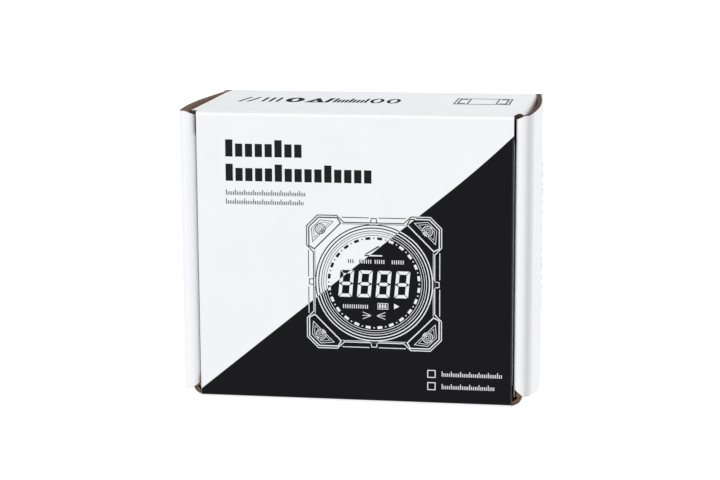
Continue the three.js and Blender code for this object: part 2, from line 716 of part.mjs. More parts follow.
// Rear case: a shallow tray that closes the room, with blind holes for the screws
function rearCase() {
  let shell = solidPrism(caseOutline, 'y', splitDepth + SEAT_GAP, GAUGE_DEPTH)
    .subtract(solidPrism(cavityOutline(), 'y', splitDepth - CUT, GAUGE_DEPTH - REAR_FLOOR));
  const holeEnd = screwTop + SCREW_LENGTH + SCREW_HOLE_CLEARANCE;
  for (const quarter of QUARTERS.keys()) {
    shell = shell.subtract(atQuarter(screwHoleSolid(splitDepth - CUT, holeEnd), quarter));
  }
  return shell;
}

const gauge = new THREE.Group();
gauge.position.set(0, gaugeFront, centreZ);
part.add(gauge);
add(gauge, 'front_case', frontCase(), caseMaterial);
add(gauge, 'rear_case', rearCase(), caseMaterial);

const CORNER_NAMES = ['top_right', 'top_left', 'bottom_left', 'bottom_right'];
CORNER_NAMES.forEach((corner, quarter) => {
  add(gauge, `corner_pad_${corner}`, atQuarter(cornerPad(), quarter), padMaterial);
  add(gauge, `corner_screw_${corner}`, atQuarter(cornerScrew(), quarter), steelMaterial);
});

QUARTERS.forEach((side, quarter) => {
  for (const [letter, place] of [['a', -magnetPlace], ['b', magnetPlace]]) {
    const magnet = magnetDisc(place, 0, channelFloor - MAGNET_THICKNESS, channelFloor);
    add(gauge, `magnet_${side}_${letter}`, atQuarter(magnet, quarter), steelMaterial);
  }
});

// Round dial, from the front to the back
const ringOuter = boreRadius - SEAT_GAP;
add(gauge, 'bezel_ring', turned([
  [bezelInner, bezelFront + BEZEL_EDGE], [bezelInner + BEZEL_EDGE, bezelFront],
  [bezelOuter - BEZEL_EDGE, bezelFront], [bezelOuter, bezelFront + BEZEL_EDGE],
  [bezelOuter, bezelBack], [bezelInner, bezelBack],
]), bezelMaterial);
const ringInner = bezelInner - DIAL_RING_WIDTH;
add(gauge, 'dial_ring', turned([
  [ringInner, ringFront + DIAL_RING_SLOPE], [ringOuter, ringFront],
  [ringOuter, ringBack], [ringInner, ringBack],
]), ringMaterial);
const disc = (radius, low, high) => prism(circle(radius, DIAL_STEPS), 'y', low, high);
add(gauge, 'dial_window', disc(ringOuter, windowFront, windowBack), windowMaterial);
const lcdRadius = bezelInner - LCD_MARGIN;
add(gauge, 'lcd_panel', disc(lcdRadius, lcdFront, lcdBack), lcdMaterial);
add(gauge, 'lcd_backlight', disc(lcdRadius, backlightFront, backlightBack), backlightMaterial);

// Electronics
add(gauge, 'main_board', prism(cavityOutline(STACK_GAP), 'y', boardFront, boardBack), circuitMaterial);
const chipBack = boardBack + SEAT_GAP;
add(gauge, 'tilt_sensor', block(
  [-SENSOR_PLACE - SENSOR_SIZE / 2, chipBack, -SENSOR_SIZE / 2],
  [-SENSOR_PLACE + SENSOR_SIZE / 2, chipBack + SENSOR_HEIGHT, SENSOR_SIZE / 2],
), chipMaterial);
add(gauge, 'processor_chip', block(
  [SENSOR_PLACE - CHIP_SIZE / 2, chipBack, -CHIP_SIZE / 2],
  [SENSOR_PLACE + CHIP_SIZE / 2, chipBack + CHIP_HEIGHT, CHIP_SIZE / 2],
), chipMaterial);
const batteryBack = GAUGE_DEPTH - REAR_FLOOR - SEAT_GAP;
const batteryOutline = outline([[-1, -1], [1, -1], [1, 1], [-1, 1]].map(([a, b]) => (
  [(a * BATTERY_WIDTH) / 2, (b * BATTERY_HEIGHT) / 2, BATTERY_ROUND]
)));
const batteryShape = prism(batteryOutline, 'y', batteryBack - BATTERY_THICKNESS, batteryBack);
add(gauge, 'battery_cell', batteryShape, batteryMaterial);

// Keys on three sides and the charging port on the fourth
const KEY_NAMES = { top: 'power', right: 'hold', bottom: 'zero' };
QUARTERS.forEach((side, quarter) => {
  if (side === PORT_SIDE) {
    add(gauge, 'charging_port', atQuarter(chargingPort(), quarter), steelMaterial);
    return;
  }
  add(gauge, `${KEY_NAMES[side]}_key`, atQuarter(key(), quarter), keyMaterial);
  add(gauge, `${KEY_NAMES[side]}_switch`, atQuarter(toSolid(keySwitch()), quarter), chipMaterial);
});

// Foam: a frame with the gauge's nest and a finger scoop at each side of it, over a plain base
const foamHalf = rollInner - FOAM_SIDE_GAP;
const foamLow = BOARD + WALL_GAP;
const foamHigh = CARTON_HEIGHT - foamLow;
const nestFloor = gaugeFront + GAUGE_DEPTH + NEST_FLOOR_CLEARANCE;
const nestHalf = half + NEST_CLEARANCE;
function foamFrame() {
  const nest = outline(fourfold([
    [nestHalf, nestHalf - CASE_CHAMFER], [nestHalf - CASE_CHAMFER, nestHalf],
  ]));
  const low = gaugeFront - CUT;
  const high = nestFloor + CUT;
  const scoopX = nestHalf + SCOOP_REACH - SCOOP_RADIUS;
  let frame = solidBlock([-foamHalf, gaugeFront, foamLow], [foamHalf, nestFloor - SEAT_GAP, foamHigh])
    .subtract(solidPrism(nest, 'y', low, high).translate([0, 0, centreZ]));
  for (const [, side] of SIDES) {
    const scoop = circle(SCOOP_RADIUS, SCREW_STEPS, side * scoopX, centreZ);
    frame = frame.subtract(solidPrism(scoop, 'y', low, high));
  }
  return frame;
}
const packing = new THREE.Group();
part.add(packing);
add(packing, 'foam_frame', foamFrame(), foamMaterial);
const foamBase = block([-foamHalf, nestFloor, foamLow], [foamHalf, wallEnd, foamHigh]);
add(packing, 'foam_base', foamBase, foamMaterial);

export default part;
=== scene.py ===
"""Looks of a boxed digital angle gauge: its printed corrugated carton, the foam nest and the gauge inside."""

import logging
import math
from collections.abc import Iterable, Sequence
from dataclasses import dataclass, field
from enum import Enum
from typing import Union

import bmesh
import bpy
from mathutils import Matrix, Vector


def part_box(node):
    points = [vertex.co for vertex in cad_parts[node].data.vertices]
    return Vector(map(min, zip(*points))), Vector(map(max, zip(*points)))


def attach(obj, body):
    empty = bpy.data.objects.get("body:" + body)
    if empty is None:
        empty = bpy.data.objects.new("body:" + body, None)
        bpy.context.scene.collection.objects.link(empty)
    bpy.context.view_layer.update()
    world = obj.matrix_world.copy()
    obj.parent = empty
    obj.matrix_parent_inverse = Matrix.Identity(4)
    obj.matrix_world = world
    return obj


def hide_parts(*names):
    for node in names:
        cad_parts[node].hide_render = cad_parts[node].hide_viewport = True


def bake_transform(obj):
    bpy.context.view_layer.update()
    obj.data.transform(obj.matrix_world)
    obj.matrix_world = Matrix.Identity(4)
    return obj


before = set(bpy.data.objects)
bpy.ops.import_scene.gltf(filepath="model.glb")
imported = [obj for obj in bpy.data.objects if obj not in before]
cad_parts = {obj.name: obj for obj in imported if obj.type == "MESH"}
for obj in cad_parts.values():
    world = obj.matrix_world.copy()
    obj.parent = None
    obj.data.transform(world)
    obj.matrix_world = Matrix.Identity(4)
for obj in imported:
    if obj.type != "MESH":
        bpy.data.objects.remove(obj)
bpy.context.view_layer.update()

log = logging.getLogger("boxed_gauge")

MILLIMETRE = 0.001
FULL_TURN = 2 * math.pi
MERGE_DISTANCE = MILLIMETRE / 1000
SHARP_ANGLE = math.radians(30)
SMOOTH_ANGLE = math.radians(35)
REST_PLACE = "rest_place"
SIDES = (("left", -1), ("right", 1))
LEVELS = ("bottom", "top")
ALL_SEGMENTS = "abcdefg"
ZERO_SEGMENTS = "abcdef"

Value = Union["Wire", float, tuple, None]
Triple = tuple[float, float, float]
Colour = Triple
Flat = tuple[float, float]


def node_box(node: str) -> tuple[Vector, Vector]:
    """A CAD node's lowest and highest corners, in millimetres."""
    low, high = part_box(node)
    return low / MILLIMETRE, high / MILLIMETRE


def shaded(colour: Colour, factor: float) -> Colour:
    """A colour made lighter or darker by a factor."""
    return tuple(channel * factor for channel in colour)


def eased(value: float, low: float, high: float) -> float:
    """A smooth step from 0 at low to 1 at high."""
    share = min(max((value - low) / (high - low), 0), 1)
    return share * share * (3 - 2 * share)


def quarter_turned(point: Flat, quarters: int) -> Flat:
    """A point turned about the dial's centre.

    Args:
        point: The point, measured from the centre.
        quarters: How many quarter turns it makes.

    Returns:
        The turned point.
    """
    x, z = point
    for _ in range(quarters):
        x, z = -z, x
    return x, z


class Axis(Enum):
    """An axis of the frame, by its place in a vector."""

    X = 0
    Y = 1
    Z = 2


class Wire:
    """One value in a tree of nodes. Python's operators on it add Math nodes."""

    def __init__(self, graph: "Nodes", socket: bpy.types.NodeSocket) -> None:
        """Keeps the socket and the nodes that it belongs to."""
        self.graph = graph
        self.socket = socket

    def __add__(self, other: Value) -> "Wire":
        """The sum."""
        return self.graph.maths("ADD", self, other)

    __radd__ = __add__

    def __sub__(self, other: Value) -> "Wire":
        """The difference."""
        return self.graph.maths("SUBTRACT", self, other)

    def __rsub__(self, other: Value) -> "Wire":
        """The difference from a plain number."""
        return self.graph.maths("SUBTRACT", other, self)

    def __mul__(self, other: Value) -> "Wire":
        """The product."""
        return self.graph.maths("MULTIPLY", self, other)

    __rmul__ = __mul__

    def __truediv__(self, other: Value) -> "Wire":
        """The quotient."""
        return self.graph.maths("DIVIDE", self, other)

    def __rtruediv__(self, other: Value) -> "Wire":
        """A plain number divided by this value."""
        return self.graph.maths("DIVIDE", other, self)

    def __pow__(self, other: Value) -> "Wire":
        """The power."""
        return self.graph.maths("POWER", self, other)

    def __abs__(self) -> "Wire":
        """The size without its sign."""
        return self.graph.maths("ABSOLUTE", self)

    def least(self, other: Value) -> "Wire":
        """The smaller of the two."""
        return self.graph.maths("MINIMUM", self, other)

    def most(self, other: Value) -> "Wire":
        """The larger of the two."""
        return self.graph.maths("MAXIMUM", self, other)

    def sine(self) -> "Wire":
        """The sine."""
        return self.graph.maths("SINE", self)

    def reach(self, other: "Wire") -> "Wire":
        """The straight distance to a point this far along one axis and the other far along another."""
        return (self * self + other * other) ** 0.5

    def step(self, low: float, high: float) -> "Wire":
        """A smooth step from 0 at low to 1 at high."""
        bounds = {"Value": self, "From Min": low, "From Max": high}
        return self.graph.node("ShaderNodeMapRange", {"interpolation_type": "SMOOTHSTEP"}, bounds)


class Nodes:
    """A tree of nodes being wired up."""

    def __init__(self, tree: bpy.types.NodeTree) -> None:
        """Keeps the tree."""
        self.tree = tree

    def node(
        self, kind: str, settings: dict | None = None, inputs: dict | None = None, output: int | str = 0
    ) -> Wire:
        """Adds one node.

        Args:
            kind: The node's type.
            settings: Its settings, set first.
            inputs: The values or links of its sockets, by index or name.
            output: The output that is wanted.

        Returns:
            That output.
        """
        made = self.tree.nodes.new(kind)
        for key, value in (settings or {}).items():
            setattr(made, key, value)
        for key, value in (inputs or {}).items():
            self.feed(made.inputs[key], value)
        return Wire(self, made.outputs[output])

    def feed(self, socket: bpy.types.NodeSocket, value: Value) -> None:
        """Links a wire to a socket, or sets the socket's own value.

        Args:
            socket: The socket.
            value: The wire or value. None leaves the socket as it is.
        """
        if isinstance(value, Wire):
            self.tree.links.new(value.socket, socket)
        elif value is not None:
            is_colour = isinstance(value, tuple) and socket.type == "RGBA"
            socket.default_value = (*value, 1.0) if is_colour else value

    def maths(self, operation: str, first: Value, second: Value = None) -> Wire:
        """One Math node."""
        return self.node("ShaderNodeMath", {"operation": operation}, {0: first, 1: second})


class Graph(Nodes):
    """A material being wired up. Its places are Object coordinates in millimetres."""

    def __init__(self, name: str, bends: bool = False) -> None:
        """Makes the material, with one main shader.

        Args:
            name: The material's name.
            bends: Whether it is for a piece that bends, and reads the places that keep_places stored.
        """
        self.material = bpy.data.materials.new(name)
        self.material.use_nodes = True
        super().__init__(self.material.node_tree)
        self.tree.nodes.clear()
        self.shader = self.tree.nodes.new("ShaderNodeBsdfPrincipled")
        output = self.tree.nodes.new("ShaderNodeOutputMaterial")
        self.tree.links.new(self.shader.outputs[0], output.inputs[0])
        if bends:
            coordinates = self.node("ShaderNodeAttribute", {"attribute_name": REST_PLACE}, output="Vector")
        else:
            coordinates = self.node("ShaderNodeTexCoord", output="Object")
        scaled = {0: coordinates, "Scale": 1 / MILLIMETRE}
        self.place = self.node("ShaderNodeVectorMath", {"operation": "SCALE"}, scaled)
        self.axes = {
            axis: self.node("ShaderNodeSeparateXYZ", None, {0: self.place}, axis.value) for axis in Axis
        }
        self.x, self.y, self.z = self.axes.values()

    def mix(self, share: Value, first: Value, second: Value) -> Wire:
        """Two colours mixed, with the second one's share."""
        return self.node("ShaderNodeMix", {"data_type": "RGBA"}, {0: share, 6: first, 7: second}, 2)

    def stretched(self, factors: Triple) -> Wire:
        """The place, with each axis scaled by its own factor."""
        return self.node("ShaderNodeVectorMath", {"operation": "MULTIPLY"}, {0: self.place, 1: factors})

    def noise(self, per_millimetre: float, detail: float = 3, vector: Value = None) -> Wire:
        """Noise between 0 and 1, with a feature size given as a count per millimetre."""
        inputs = {"Vector": vector or self.place, "Scale": per_millimetre, "Detail": detail}
        return self.node("ShaderNodeTexNoise", None, inputs)

    def cells(self, per_millimetre: float) -> Wire:
        """The distance to the nearest of scattered points, as foam cells or moulded texture."""
        inputs = {"Vector": self.place, "Scale": per_millimetre}
        return self.node("ShaderNodeTexVoronoi", None, inputs, "Distance")

    def bump(self, height: Value) -> Wire:
        """A normal from a height in millimetres."""
        return self.node("ShaderNodeBump", None, {"Distance": MILLIMETRE, "Height": height})

    def finish(self, **sockets: Value) -> bpy.types.Material:
        """Sets the main shader's sockets, named with underscores for spaces.

        Args:
            **sockets: The values or links.

        Returns:
            The finished material.
        """
        for name, value in sockets.items():
            self.feed(self.shader.inputs[name.replace("_", " ")], value)
        return self.material


class Sketch:
    """A mesh being modelled, in millimetres, that becomes one piece."""

    def __init__(self) -> None:
        """Starts with nothing."""
        self.mesh = bmesh.new()

    def face(self, corners: Iterable[Sequence[float]]) -> bmesh.types.BMFace:
        """One flat face.

        Args:
            corners: Its corners, in order.

        Returns:
            The face.
        """
        made = self.mesh.faces.new([self.mesh.verts.new(corner) for corner in corners])
        made.normal_update()
        return made

    def chain(self, points: Iterable[Sequence[float]]) -> list[bmesh.types.BMEdge]:
        """A line of edges through the points."""
        verts = [self.mesh.verts.new(point) for point in points]
        return [self.mesh.edges.new(pair) for pair in zip(verts, verts[1:])]

    def thicken(self, faces: list[bmesh.types.BMFace], push: Sequence[float]) -> None:
        """Pushes faces out into solids.

        Args:
            faces: The faces.
            push: The way and distance that they are pushed.
        """
        made = bmesh.ops.extrude_face_region(self.mesh, geom=faces)
        moved = [item for item in made["geom"] if isinstance(item, bmesh.types.BMVert)]
        bmesh.ops.translate(self.mesh, verts=moved, vec=Vector(push))

    def slab(self, corners: Iterable[Sequence[float]], push: Sequence[float]) -> None:
        """A flat outline pushed into a solid."""
        self.thicken([self.face(corners)], push)

    def strip(
        self, near: Iterable[Sequence[float]], far: Iterable[Sequence[float]], push: Sequence[float]
    ) -> None:
        """A band between two lines of points, pushed into a solid."""
        edges = self.chain(near) + self.chain(far)
        self.thicken(bmesh.ops.bridge_loops(self.mesh, edges=edges)["faces"], push)

    def border(self, corners: Iterable[Sequence[float]], width: float, push: Sequence[float]) -> None:
        """The border of a flat outline, pushed into a solid.

        Args:
            corners: The outline's corners, in order.
            width: The border's width, the same all round.
            push: The way and distance that it is pushed.
        """
        inner = self.face(corners)
        made = bmesh.ops.inset_region(
            self.mesh, faces=[inner], thickness=width, use_boundary=True, use_even_offset=True,
        )
        bmesh.ops.delete(self.mesh, geom=[inner], context="FACES_ONLY")
        self.thicken(made["faces"], push)

    def box(self, low: Sequence[float], high: Sequence[float]) -> None:
        """A box.

        Args:
            low: Its lowest corner.
            high: Its highest corner.
        """
        low, high = Vector(low), Vector(high)
        size = Matrix.Diagonal((*(high - low), 1))
        bmesh.ops.create_cube(self.mesh, size=1, matrix=Matrix.Translation((low + high) / 2) @ size)

    def soften(self, width: float, segments: int) -> None:
        """Rounds the sharp edges.

        Args:
            width: The width of the rounds.
            segments: How many faces make up a round.
        """
        bmesh.ops.remove_doubles(self.mesh, verts=self.mesh.verts, dist=width / 100)
        solid = [edge for edge in self.mesh.edges if edge.is_manifold]
        sharp = [edge for edge in solid if edge.calc_face_angle() > SHARP_ANGLE]
        bmesh.ops.bevel(
            self.mesh, geom=sharp, offset=width, offset_type="OFFSET", affect="EDGES",
            segments=segments, profile=0.5, material=-1, clamp_overlap=True,
        )

    def piece(self, name: str, material: bpy.types.Material) -> bpy.types.Object:
        """Turns the sketch into a piece of the scene, in metres.

        Args:
            name: The piece's name.
            material: Its finish.

        Returns:
            The piece.
        """
        bmesh.ops.recalc_face_normals(self.mesh, faces=self.mesh.faces)
        bmesh.ops.scale(self.mesh, verts=self.mesh.verts, vec=Vector.Fill(3, MILLIMETRE))
        for item in self.mesh.faces:
            item.smooth = True
        for edge in self.mesh.edges:
            edge.smooth = edge.is_manifold and edge.calc_face_angle() < SMOOTH_ANGLE
        data = bpy.data.meshes.new(name)
        self.mesh.to_mesh(data)
        self.mesh.free()
        data.materials.append(material)
        made = bpy.data.objects.new(name, data)
        bpy.context.scene.collection.objects.link(made)
        return made


def place_piece(piece: bpy.types.Object, body: str) -> bpy.types.Object:
    """Puts a piece on its body.

    Args:
        piece: The piece.
        body: The body that it moves with.

    Returns:
        The piece.
    """
    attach(piece, body)
    log.info("%s rides on %s", piece.name, body)
    return piece


def keep_places(piece: bpy.types.Object) -> None:
    """Stores where a bending piece's points lie at rest, so that its finish moves with it.

    Args:
        piece: The piece.
    """
    stored = piece.data.attributes.new(REST_PLACE, "FLOAT_VECTOR", "POINT")
    for item, vert in zip(stored.data, piece.data.vertices):
        item.vector = vert.co


def dress(node: str, material: bpy.types.Material, edge: float = 0.0) -> None:
    """Gives a CAD node its finish, and small rounds on its edges.

    Args:
        node: The node's name.
        material: The finish.
        edge: The width of the rounds, in millimetres.
    """
    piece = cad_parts[node]
    piece.data.materials.clear()
    piece.data.materials.append(material)
    weld = piece.modifiers.new("weld", "WELD")
    weld.merge_threshold = MERGE_DISTANCE
    if edge:
        rounds = piece.modifiers.new("rounds", "BEVEL")
        rounds.width = edge * MILLIMETRE
        rounds.segments = 2
        rounds.limit_method = "ANGLE"
        rounds.angle_limit = SHARP_ANGLE
    log.info("%s is dressed in %s", node, material.name)


@dataclass(frozen=True)
class PhotoView:
    """The photograph's camera. Lengths are in millimetres, and pixels are of the 720 by 480 frame."""

    width: int = 720
    focal_pixels: float = 2000
    azimuth: float = 9.151
    elevation: float = 10.688
    roll: float = -0.293
    distance: float = 739.9
    target: Triple = (2.355, -36.0, 62.998)
    sensor: float = 36
    reach: float = 10000

    def make(self) -> bpy.types.Object:
        """Makes the camera and sets it as the scene's.

        Returns:
            The camera.
        """
        azimuth, elevation, roll = map(math.radians, (self.azimuth, self.elevation, self.roll))
        back = Vector((math.sin(azimuth), -math.cos(azimuth), math.tan(elevation))).normalized()
        level = Vector((math.cos(azimuth), math.sin(azimuth), 0))
        upright = level.cross(-back)
        right = level * math.cos(roll) + upright * math.sin(roll)
        up = upright * math.cos(roll) - level * math.sin(roll)
        data = bpy.data.cameras.new("photo_camera")
        data.sensor_width = self.sensor
        data.lens = self.focal_pixels * self.sensor / self.width
        data.clip_end = self.reach * MILLIMETRE
        camera = bpy.data.objects.new("photo_camera", data)
        bpy.context.scene.collection.objects.link(camera)
        place = (Vector(self.target) + back * self.distance) * MILLIMETRE
        camera.matrix_world = Matrix.Translation(place) @ Matrix((right, up, back)).transposed().to_4x4()
        bpy.context.scene.camera = camera
        return camera


@dataclass(frozen=True)
class SkyLobe:
    """A darker part of the sky round one direction."""

    towards: Triple
    drop: float
    edge: float


@dataclass(frozen=True)
class Studio:
    """A white studio: an even sky with a few darker parts, and a pale floor. Lengths are in millimetres."""

    sky: float = 1.68
    lobes: tuple[SkyLobe, ...] = (
        SkyLobe((0, -0.14, 1), drop=0.98, edge=0.2),
        SkyLobe((0.8, -0.75, 0.05), drop=1.05, edge=0.35),
        SkyLobe((-1, 0.6, 0), drop=1.35, edge=0.52),
        SkyLobe((1, 1.1, 0.05), drop=0.85, edge=0.64),
    )
    tint: Colour = (0.985, 0.99, 1.0)
    floor_size: float = 6000
    floor_thickness: float = 10
    floor_glow: float = 1.02
    floor_colour: Colour = (0.16, 0.16, 0.16)

    def make(self) -> None:
        """Makes the sky and the floor."""
        bpy.context.scene.view_settings.view_transform = "Standard"
        self.make_sky()
        self.make_floor()

    def make_sky(self) -> None:
        """The sky: white round the horizon, and darker where the lobes are."""
        world = bpy.data.worlds.new("studio_sky")
        bpy.context.scene.world = world
        world.use_nodes = True
        nodes = Nodes(world.node_tree)
        direction = nodes.node("ShaderNodeTexCoord", output="Generated")
        level = self.sky
        for lobe in self.lobes:
            ways = {0: direction, 1: Vector(lobe.towards).normalized()}
            nearness = nodes.node("ShaderNodeVectorMath", {"operation": "DOT_PRODUCT"}, ways, "Value")
            level = level - nearness.step(lobe.edge, 1) * lobe.drop
        background = world.node_tree.nodes["Background"]
        nodes.feed(background.inputs["Color"], self.tint)
        nodes.feed(background.inputs["Strength"], level)

    def make_floor(self) -> None:
        """The floor: pale, and bright enough by itself to leave only a faint shadow."""
        sketch = Sketch()
        half = self.floor_size / 2
        sketch.box((-half, -half, -self.floor_thickness), (half, half, 0))
        graph = Graph("pale_floor")
        colour = graph.mix(graph.noise(0.02, 2), self.floor_colour, shaded(self.floor_colour, 1.03))
        material = graph.finish(
            Base_Color=colour, Roughness=0.9, Emission_Color=(1.0, 1.0, 1.0),
            Emission_Strength=self.floor_glow, Specular_IOR_Level=0.1,
        )
        sketch.piece("pale_floor", material)


class Sheet:
    """A sheet of corrugated board as a material sees it."""

    def depth(self, graph: Graph) -> Wire:
        """How far a point lies under the printed face, in millimetres."""
        raise NotImplementedError

    def across(self, graph: Graph) -> Wire:
        """How far a point lies along the sheet, across its flutes, in millimetres."""
        return graph.x


@dataclass(frozen=True)
class FlatSheet(Sheet):
    """A flat sheet square to an axis, with its printed face at a place along it."""

    axis: Axis
    face: float
    inward: int
    across_axis: Axis = Axis.X

    def depth(self, graph: Graph) -> Wire:
        """How far a point lies under the printed face."""
        return (graph.axes[self.axis] - self.face) * self.inward

    def across(self, graph: Graph) -> Wire:
        """How far a point lies across the flutes."""
        return graph.axes[self.across_axis]


@dataclass(frozen=True)
class LeaningSheet(Sheet):
    """The tuck flap: a sheet that leans about the lid's lower crease."""

    crease: Vector
    lean: float
    board: float

    def depth(self, graph: Graph) -> Wire:
        """How far a point lies above the flap's printed underside.

        Args:
            graph: The material's nodes.

        Returns:
            The depth in millimetres.
        """
        lean = math.radians(self.lean)
        up, back = graph.z - self.crease.z, graph.y - self.crease.y
        return up * math.cos(lean) - back * math.sin(lean) + self.board / 2


@dataclass(frozen=True)
class CreaseSheet(Sheet):
    """The paper round a crease of the lid: printed outside and brown inside."""

    crease: Vector
    turn: int
    radius: float

    def depth(self, graph: Graph) -> Wire:
        """How far a point lies inside the crease's rounded outer face.

        Args:
            graph: The material's nodes.

        Returns:
            The depth in millimetres.
        """
        front = self.crease.y - graph.y
        up = (graph.z - self.crease.z) * self.turn
        outside = front.most(0).reach(up.most(0))
        return self.radius - outside - front.most(up).least(0)


@dataclass(frozen=True)
class FoldedSheet(Sheet):
    """A corner flap: it turns through a round fold from the wall above or below it."""

    fold_x: float
    fold_z: float
    radius: float
    middle_z: float

    def depth(self, graph: Graph) -> Wire:
        """How far a point lies inside the fold's outer face.

        Args:
            graph: The material's nodes.

        Returns:
            The depth in millimetres.
        """
        out = (abs(graph.x) - self.fold_x).most(0)
        up = (abs(graph.z - self.middle_z) - self.fold_z).most(0)
        return self.radius - out.reach(up)

    def across(self, graph: Graph) -> Wire:
        """How far a point lies round the fold, across the flutes."""
        return abs(graph.x) - abs(graph.z - self.middle_z)


@dataclass(frozen=True)
class ArchSheet(Sheet):
    """A fold raised into a small arch, that runs back from a centre and sinks as it goes."""

    centre: Vector
    radius: float
    sink: float

    def depth(self, graph: Graph) -> Wire:
        """How far a point lies inside the arch's outer face.

        Args:
            graph: The material's nodes.

        Returns:
            The depth in millimetres.
        """
        out = graph.x - self.centre.x
        up = graph.z - self.centre.z + (graph.y - self.centre.y) * self.sink
        return self.radius - out.reach(up)


@dataclass(frozen=True)
class Station:
    """One place along a bent sheet: its printed face, the way out of it, and the thickness there."""

    face: Vector
    out: Vector
    thick: float

    def at(self, share: float) -> Vector:
        """The point at a share of the thickness under the printed face."""
        return self.face - self.out * (self.thick * share)

    def mirrored(self, side: int) -> "Station":
        """The same place on the given side."""
        flip = Vector((side, 1, 1))
        return Station(self.face * flip, self.out * flip, self.thick)

    def moved(self, x: float, height: float) -> "Station":
        """The same place, moved sideways by x and put at a height."""
        return Station(Vector((self.face.x + x, self.face.y, height)), self.out, self.thick)

    def towards(self, other: "Station", share: float) -> "Station":
        """A place between this one and another.

        Args:
            other: The other place.
            share: How much of the way to it.

        Returns:
            The place between.
        """
        out = self.out.lerp(other.out, share).normalized()
        thick = self.thick + (other.thick - self.thick) * share
        return Station(self.face.lerp(other.face, share), out, thick)


